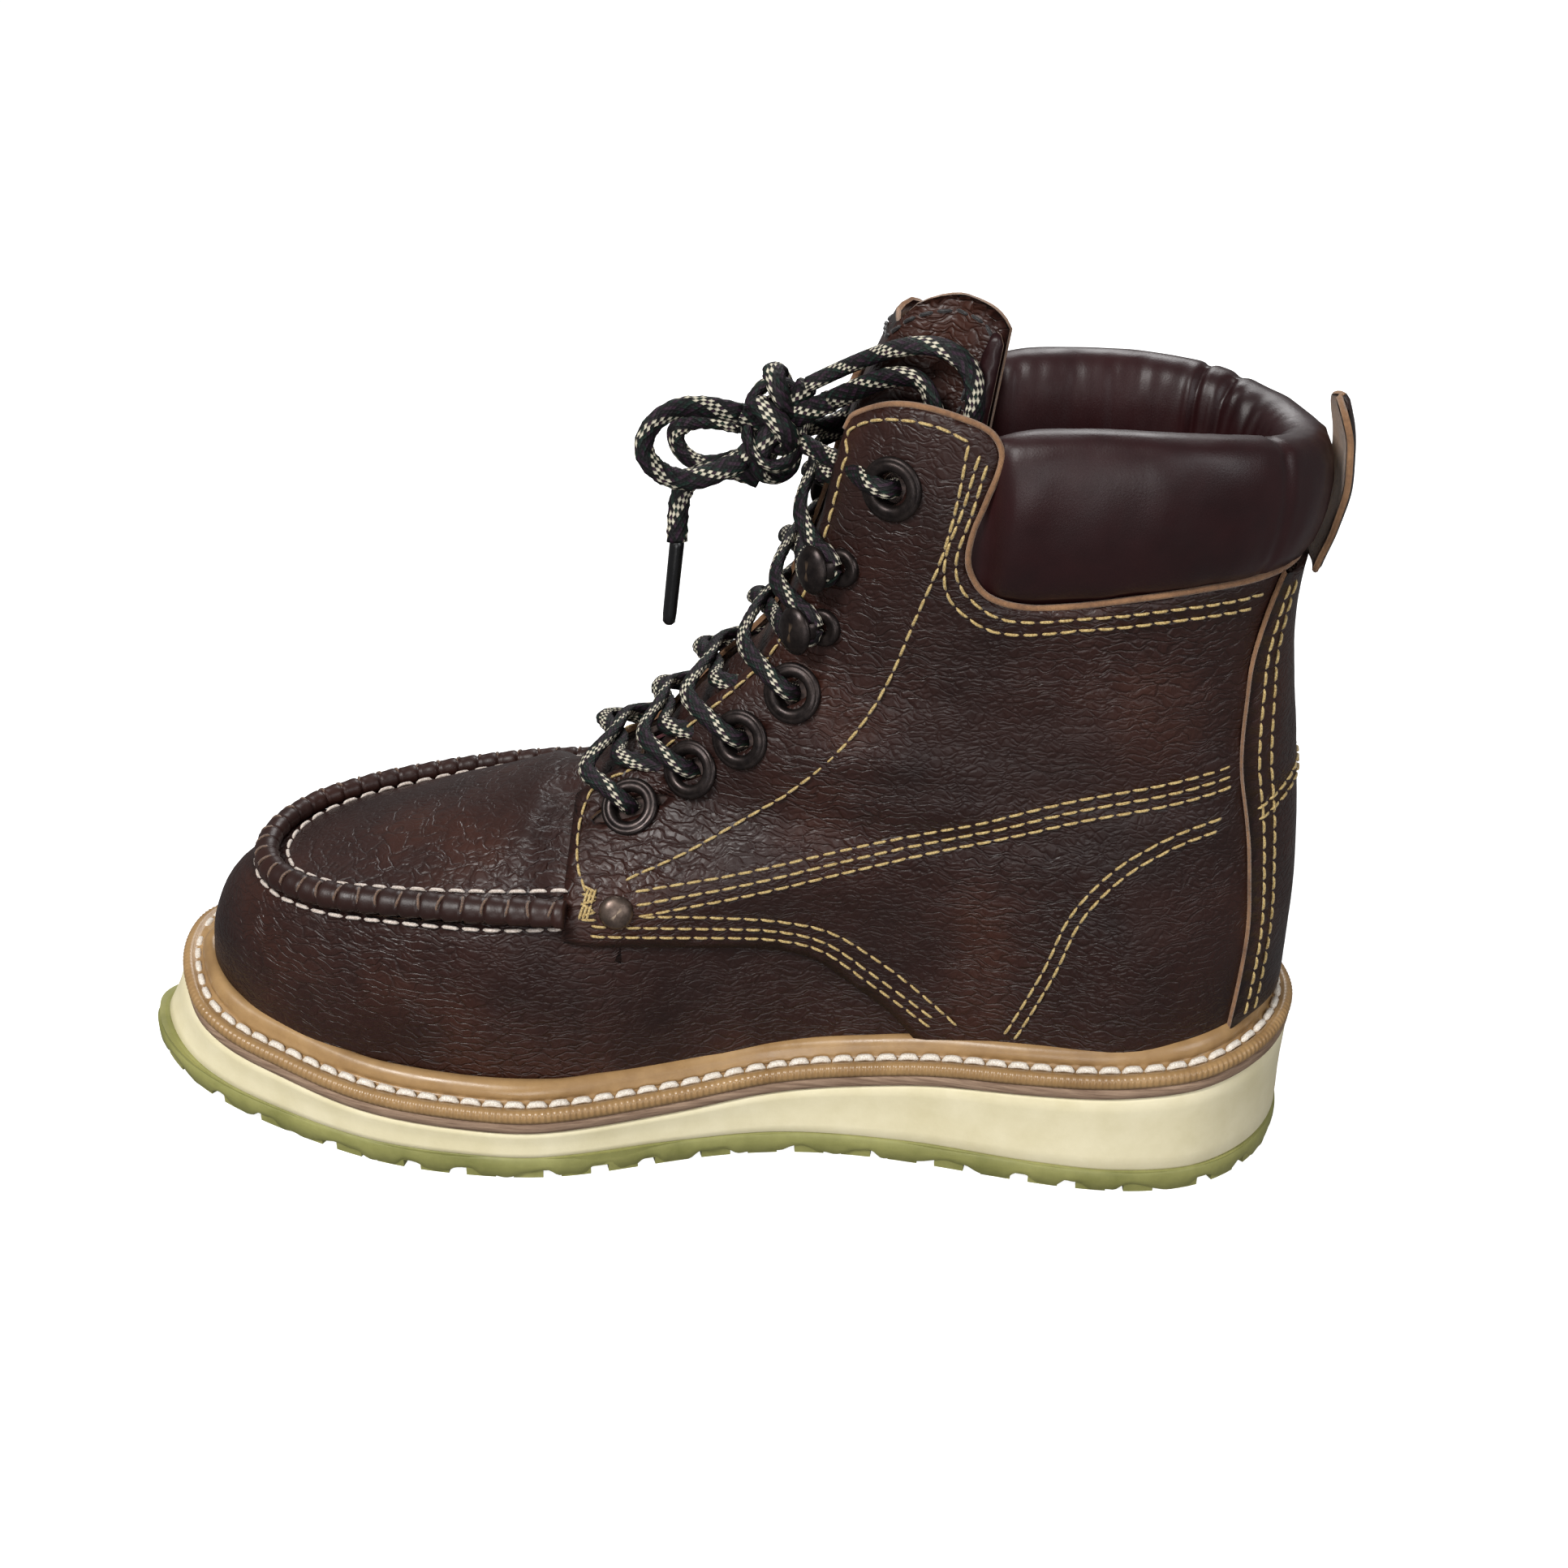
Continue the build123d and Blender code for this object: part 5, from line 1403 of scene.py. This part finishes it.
# ---------------------------------------------------------------- eyelets, hooks, rivets
def lathe(points, faces, centre, axis, profile, sides=36, squash=1.0, across=None):
    """Adds a turned shape: profile of (radius, height) pairs about an axis."""
    across = across or axis.orthogonal().normalized()
    other = axis.cross(across).normalized()
    base = len(points)
    for radius, height in profile:
        for j in range(sides):
            turn = j * math.tau / sides
            points.append(centre + axis * height + across * radius * math.cos(turn) * squash
                          + other * radius * math.sin(turn))
    faces += ring_faces(len(profile), sides, base)


EYELET_PROFILE = [(3.7, -4.0), (3.8, 0.0), (4.05, 0.7), (4.6, 1.15), (5.3, 1.3), (6.0, 1.15),
                  (6.3, 0.9), (6.5, 0.95), (7.0, 0.85), (7.35, 0.5), (7.45, 0.1), (7.3, -0.5),
                  (5.0, -0.5), (4.1, -0.6), (4.0, -4.0)]
HOOK_BASE_PROFILE = [(1.3, -3.0), (1.3, 0.5), (1.7, 0.9), (2.4, 1.0), (3.2, 1.4), (3.9, 1.3),
                     (4.4, 0.9), (4.6, 0.2), (4.5, -0.5)]
CAP_PROFILE = [(0.01, 1.9), (1.3, 1.85), (2.5, 1.65), (3.6, 1.2), (4.5, 0.55), (4.75, 0.0),
               (4.6, -0.4), (3.9, -0.5), (0.01, -0.5)]
RIVET_PROFILE = [(0.01, 2.0), (1.3, 1.9), (2.5, 1.6), (3.5, 1.05), (4.1, 0.4), (4.3, -0.1),
                 (4.2, -0.5)]


def add_hook(points, faces, x, z, side):
    """A speed hook: its foot, its bent strap and the cap on top."""
    centre, axis = on_side(x, z, side, QUARTER_LIFT + 0.1)
    ahead, _ = on_side(x - 3, z - 0.4, side, QUARTER_LIFT + 0.1)
    forward = ahead - centre
    forward = (forward - axis * forward.dot(axis)).normalized()
    lathe(points, faces, centre, axis, HOOK_BASE_PROFILE)
    lift = axis * 5.6 + forward * 4.4
    lean = (axis + forward * 0.18).normalized()
    lathe(points, faces, centre + lift, lean, CAP_PROFILE, squash=1.22,
          across=lean.cross(forward).normalized())
    strap = [centre + axis * 0.6 + forward * 0.6, centre + axis * 2.6 + forward * 0.4,
             centre + axis * 4.4 + forward * 1.6, centre + axis * 5.3 + forward * 4.2]
    line = smooth_line(strap, 0.5)
    wide = axis.cross(forward).normalized()
    ups = [(b - a).normalized().cross(wide) for a, b in zip(line, line[1:])]
    bent, bent_faces, _ = tube(line, ups + [ups[-1]], lambda travelled: oval(2.1, 0.55, 10))
    faces += [tuple(i + len(points) for i in f) for f in bent_faces]
    points += bent


def build_hardware():
    for side, name in SIDES:
        points, faces = [], []
        for place in [*EYELETS, TOP_EYELET]:
            centre, axis = on_side(*place, side, QUARTER_LIFT + 0.15)
            lathe(points, faces, centre, axis, EYELET_PROFILE)
        piece = mesh_object(f"eyelet_rings_{name}", points, faces, [GUNMETAL])
        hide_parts(f"eyelets_{name}")
        points, faces = [], []
        for x, z in HOOKS:
            add_hook(points, faces, x, z, side)
        piece = mesh_object(f"hook_caps_{name}", points, faces, [GUNMETAL])
        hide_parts(f"lace_hooks_{name}")
        points, faces = [], []
        centre, axis = on_side(*RIVET, side, QUARTER_LIFT + 0.1)
        lathe(points, faces, centre, axis, RIVET_PROFILE)
        piece = mesh_object(f"rivet_dome_{name}", points, faces, [RIVET_METAL])
        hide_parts(f"quarter_rivet_{name}")


# ---------------------------------------------------------------- lace
LACE_WIDTH, LACE_THICK = 5.2, 3.2


def spline_line(name, points):
    """Millimetre points read from a spline on control points in metres."""
    curve = bpy.data.curves.new(name, "CURVE")
    curve.dimensions = "3D"
    curve.resolution_u = 12
    spline = curve.splines.new("NURBS")
    spline.points.add(len(points) - 1)
    for place, point in zip(spline.points, points):
        place.co = (*point, 1)
    spline.order_u = 3
    spline.use_endpoint_u = True
    holder = bpy.data.objects.new(name, curve)
    mesh = bpy.data.meshes.new_from_object(holder)
    line = [v.co / MM for v in mesh.vertices]
    bpy.data.meshes.remove(mesh)
    bpy.data.objects.remove(holder)
    bpy.data.curves.remove(curve)
    return line


def carried(line, first):
    """Normals that turn as little as they can along a line."""
    normals, normal = [], Vector(first)
    for k in range(len(line)):
        tangent = tangent_at(line, k)
        normal = (normal - tangent * normal.dot(tangent)).normalized()
        normals.append(normal.copy())
    return normals


def lace_section(travelled):
    """A soft flat oval, slightly uneven along the lace."""
    soft = 1 + 0.05 * math.sin(travelled * 1.9) + 0.03 * math.sin(travelled * 4.7 + 1)
    return oval(LACE_WIDTH / 2 * soft, LACE_THICK / 2 * (2 - soft), 20)


def lace_mesh(lines, drawn=1.0):
    """Points, faces and uvs of lengths of lace, each (line, normals), drawn out narrower."""
    points, faces, uvs = [], [], []
    for line, normals in lines:
        more, more_faces, places = tube(line, normals, lambda travelled: [
            (a * drawn, b * drawn) for a, b in lace_section(travelled)])
        faces += [tuple(i + len(points) for i in f) for f in more_faces]
        points += more
        uvs += places
    return points, faces, uvs


def instep_out(p):
    """Outward direction near the front of the shaft."""
    slope = between(FRONT_X, p.z + 1) - between(FRONT_X, p.z - 1)
    ahead = Vector((-2, 0, slope)).normalized()
    share = min(abs(p.y) / 30, 1)
    return (ahead * (1 - share) + Vector((0, 1 if p.y > 0 else -1, 0.15)) * share).normalized()


def front_point(z, y, lift):
    slope = between(FRONT_X, z + 1) - between(FRONT_X, z - 1)
    return Vector((between(FRONT_X, z), y, z)) + Vector((-2, 0, slope)).normalized() * lift


def leaving(place, side, aim):
    """How a strand comes out of an eyelet, or off the top of a hook."""
    x, z = place
    if place in HOOKS:
        turns = ((-0.8, 0.3), (-1.8, 2.6), (-4.6, 3.8))
        return [on_side(x + a, z + b, side, QUARTER_LIFT + 2.4)[0] for a, b in turns]
    centre, axis = on_side(x, z, side, QUARTER_LIFT)
    return [centre - axis * 3.5, centre + axis * 1.4 + (aim - centre) * 0.05,
            centre + axis * 3.0 + (aim - centre) * 0.36]


def arriving(place, side, step, floor):
    """How a strand goes under the flap to an eyelet, or round the back of a hook."""
    x, z = place
    if place in HOOKS:
        turns = ((-7.0, -3.6), (-4.2, -3.2), (-1.8, -2.2), (-0.8, 0.3))
        return [on_side(x + a, z + b, side, QUARTER_LIFT + 2.4)[0] for a, b in turns]
    return [front_point(z - 0.14 * step, side * 12.5, floor),
            on_side(x, z, side, -4.0 + max(floor, 0) * 0.3)[0]]


def build_crossings():
    stations = [*EYELETS, *HOOKS, TOP_EYELET]
    lines = []
    for k in range(len(stations) - 1):
        here, there = stations[k], stations[k + 1]
        step = there[1] - here[1]
        for side in (-1, 1):
            over = side < 0
            floor = 1.6 if k == 0 else 0.0
            aim = front_point(here[1] + 0.34 * step + 2, side * 15.5, 2.2)
            middle = front_point(here[1] + 0.58 * step + 2, 0, floor + (1.7 if over else -1.0))
            landing = floor + (0.2 if over else -1.4)
            route = leaving(here, side, aim) + [aim, middle] + arriving(there, -side, step, landing)
            line = smooth_line(route, 0.55)
            lines.append((line, [instep_out(p) for p in line]))
    for side in (-1, 1):
        route = leaving(TOP_EYELET, side, Vector((30, side * 20.5, 182)))
        route += [Vector((30, side * 20.5, 182.4)), Vector((24.5, side * 12, 181.5)),
                  Vector((17, side * 3, 182.5))]
        line = smooth_line(route, 0.55)
        lines.append((line, [instep_out(p) for p in line]))
    points, faces, uvs = lace_mesh(lines, 0.86)
    piece = mesh_object("lace_strands", points, faces, [LACE], uvs=uvs)
    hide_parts("lace_crossings")


KNOT = Vector((12.5, -1, 184.5))
# Where the loops and the tail come out of the knot.
KNOT_EXITS = [(5, -4, 177), (4, -4, 188), (6, 4, 175.5), (3.5, 5, 183), (8.8, 0.5, 171),
              (20, -4, 195.5), (26, -9, 193.5)]


def build_knot():
    """Passes of lace drawn tight round each other, and the ends that come out of them."""
    winding, wrap, ear = [], [], []
    for k in range(160):
        t = k * math.tau / 160
        winding.append(KNOT + Vector((-math.sin(3 * t) * 4.0,
                                      (math.sin(t) + 2 * math.sin(2 * t)) * 2.7,
                                      (math.cos(t) - 2 * math.cos(2 * t)) * 3.7 - 1.5)))
        wrap.append(KNOT + Vector((-6.6 * math.cos(t), -1.2 + 3.4 * math.sin(t),
                                   9.2 * math.sin(t) + 0.8)))
        ear.append(KNOT + Vector((1.5 - 2.2 * math.sin(t), 1.0 + 5.2 * math.cos(t),
                                  8.5 + 4.6 * math.sin(t))))
    lines = []
    for line in (winding, wrap, ear):
        outward = []
        for k, p in enumerate(line):
            tangent = (line[(k + 1) % len(line)] - line[k - 1]).normalized()
            away = p - KNOT
            outward.append((away - tangent * away.dot(tangent)).normalized())
        lines.append((line + [line[0]], outward + [outward[0]]))
    for place in KNOT_EXITS:
        end = Vector(place)
        line = smooth_line([KNOT + (end - KNOT) * 0.15, KNOT + (end - KNOT) * 0.6, end], 0.6)
        lines.append((line, carried(line, (0, -1, 0.2))))
    points, faces, uvs = lace_mesh(lines)
    piece = mesh_object("bow_knot", points, faces, [LACE], uvs=uvs)
    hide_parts("lace_knot")


LOOP_LARGE = [(0.005, -0.004, 0.177), (-0.003, -0.008, 0.173), (-0.012, -0.012, 0.174),
              (-0.018, -0.014, 0.181), (-0.015, -0.012, 0.1885), (-0.006, -0.007, 0.1915),
              (0.004, -0.004, 0.188)]
LOOP_SMALL = [(0.006, 0.004, 0.1755), (-0.003, 0.0075, 0.1705), (-0.011, 0.010, 0.1725),
              (-0.0135, 0.011, 0.179), (-0.006, 0.009, 0.1835), (0.0035, 0.005, 0.183)]
TAIL = [(0.0088, 0.0005, 0.171), (0.003, -0.0003, 0.1734), (-0.0035, -0.0012, 0.1736),
        (-0.0095, -0.0025, 0.1693), (-0.0105, -0.004, 0.1625), (-0.0105, -0.0045, 0.156)]
LOOP_OVER = [(0.020, -0.004, 0.1955), (0.027, -0.005, 0.1995), (0.0345, -0.0125, 0.205),
             (0.0415, -0.0195, 0.2095), (0.050, -0.0228, 0.211), (0.057, -0.0253, 0.207),
             (0.0585, -0.0268, 0.1985), (0.056, -0.0266, 0.190), (0.0515, -0.0256, 0.190),
             (0.0495, -0.025, 0.197), (0.0465, -0.023, 0.2033), (0.040, -0.0205, 0.2032),
             (0.033, -0.0155, 0.199), (0.026, -0.009, 0.1935)]


def free_lace(name, node, route, first):
    line = spline_line(name, route)
    points, faces, uvs = lace_mesh([(line, carried(line, first))])
    piece = mesh_object(name, points, faces, [LACE], uvs=uvs)
    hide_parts(node)


AGLET_PROFILE = [(1.2, -0.6), (1.75, 0.2), (1.8, 1.2), (1.7, 18.5), (1.55, 20.6), (0.9, 21.3),
                 (0.01, 21.4)]


def build_free_lace():
    points, faces = [], []
    top = Vector(TAIL[-1]) / MM
    down = Vector((-0.1, -0.05, -1)).normalized()
    lathe(points, faces, top, down, AGLET_PROFILE, sides=20)
    tip = mesh_object("lace_tip", points, faces, [TIP])
    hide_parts("aglet")
    free_lace("bow_loop_large", "lace_loop_large", LOOP_LARGE, (0, -1, 0.3))
    free_lace("bow_loop_small", "lace_loop_small", LOOP_SMALL, (0, 1, 0.2))
    free_lace("bow_tail", "lace_tail", TAIL, (0, -1, 0))
    free_lace("bow_loop_over", "lace_loop_over", LOOP_OVER, (0, -0.3, 1))


build_backstay()
build_collar()
build_pull_tab()
build_tongue()
build_linings()
build_footbed()
build_hardware()
build_crossings()
build_knot()
build_free_lace()


# ---------------------------------------------------------------- light, camera, floor
def area_light(name, place, aim, size, power, tint=(1, 1, 1)):
    lamp = bpy.data.lights.new(name, "AREA")
    lamp.shape, lamp.size, lamp.energy, lamp.color = "DISK", size, power, tint
    holder = add_object(name, lamp)
    holder.location = place
    holder.rotation_euler = (Vector(aim) - Vector(place)).to_track_quat("-Z", "Y").to_euler()


def build_lights():
    area_light("key_light", (-0.75, -0.95, 1.35), (0, 0, 0.08), 0.6, 27, (1, 0.99, 0.97))
    area_light("fill_light", (1.1, -1.0, 0.8), (0, 0, 0.08), 0.8, 7, (0.97, 0.98, 1))
    area_light("back_light", (0.1, 1.1, 1.2), (0, 0, 0.1), 0.8, 12)
    area_light("front_light", (0.0, -1.3, 0.25), (0, 0, 0.06), 0.6, 4)
    world = bpy.data.worlds.new("white_room")
    world.use_nodes = True
    background = world.node_tree.nodes["Background"]
    background.inputs["Color"].default_value = (1, 1, 1, 1)
    background.inputs["Strength"].default_value = 0.2
    bpy.context.scene.world = world
    bpy.context.scene.view_settings.view_transform = "Standard"


FLOOR_HALF = 9


def build_floor():
    floor_look = Surface("white_floor", 0.8, Base_Color=(0.6, 0.6, 0.6, 1),
                         Emission_Color=(1, 1, 1, 1), Emission_Strength=0.9)
    mesh = bpy.data.meshes.new("floor")
    corners = [(a * FLOOR_HALF, b * FLOOR_HALF, 0) for a, b in ((-1, -1), (1, -1), (1, 1), (-1, 1))]
    mesh.from_pydata(corners, [], [(0, 1, 2, 3)])
    mesh.materials.append(floor_look.material)
    floor = add_object("floor", mesh)
    floor.visible_diffuse = False
    floor.visible_glossy = False


# Where the photograph was taken from: degrees, metres and the lens in millimetres.
CAMERA_TURN, CAMERA_TILT, CAMERA_ROLL = 3.5, 27.45, 1.18
CAMERA_TARGET = Vector((0.0159, 0.0043, 0.0871))
CAMERA_DISTANCE = 0.52
CAMERA_LENS, CAMERA_SENSOR = 46.0, 36.0


def build_camera():
    turn, tilt, roll = (math.radians(angle) for angle in (CAMERA_TURN, CAMERA_TILT, CAMERA_ROLL))
    back = Vector((math.sin(turn) * math.cos(tilt), -math.cos(turn) * math.cos(tilt),
                   math.sin(tilt)))
    right = (-back).cross(Vector((0, 0, 1))).normalized()
    up = right.cross(-back)
    across = right * math.cos(roll) + up * math.sin(roll)
    upward = up * math.cos(roll) - right * math.sin(roll)
    lens = bpy.data.cameras.new("camera")
    lens.lens, lens.sensor_width = CAMERA_LENS, CAMERA_SENSOR
    camera = add_object("camera", lens)
    turned = Matrix((across, upward, back)).transposed().to_4x4()
    camera.matrix_world = Matrix.Translation(CAMERA_TARGET + back * CAMERA_DISTANCE) @ turned
    bpy.context.scene.camera = camera


build_lights()
build_floor()
build_camera()
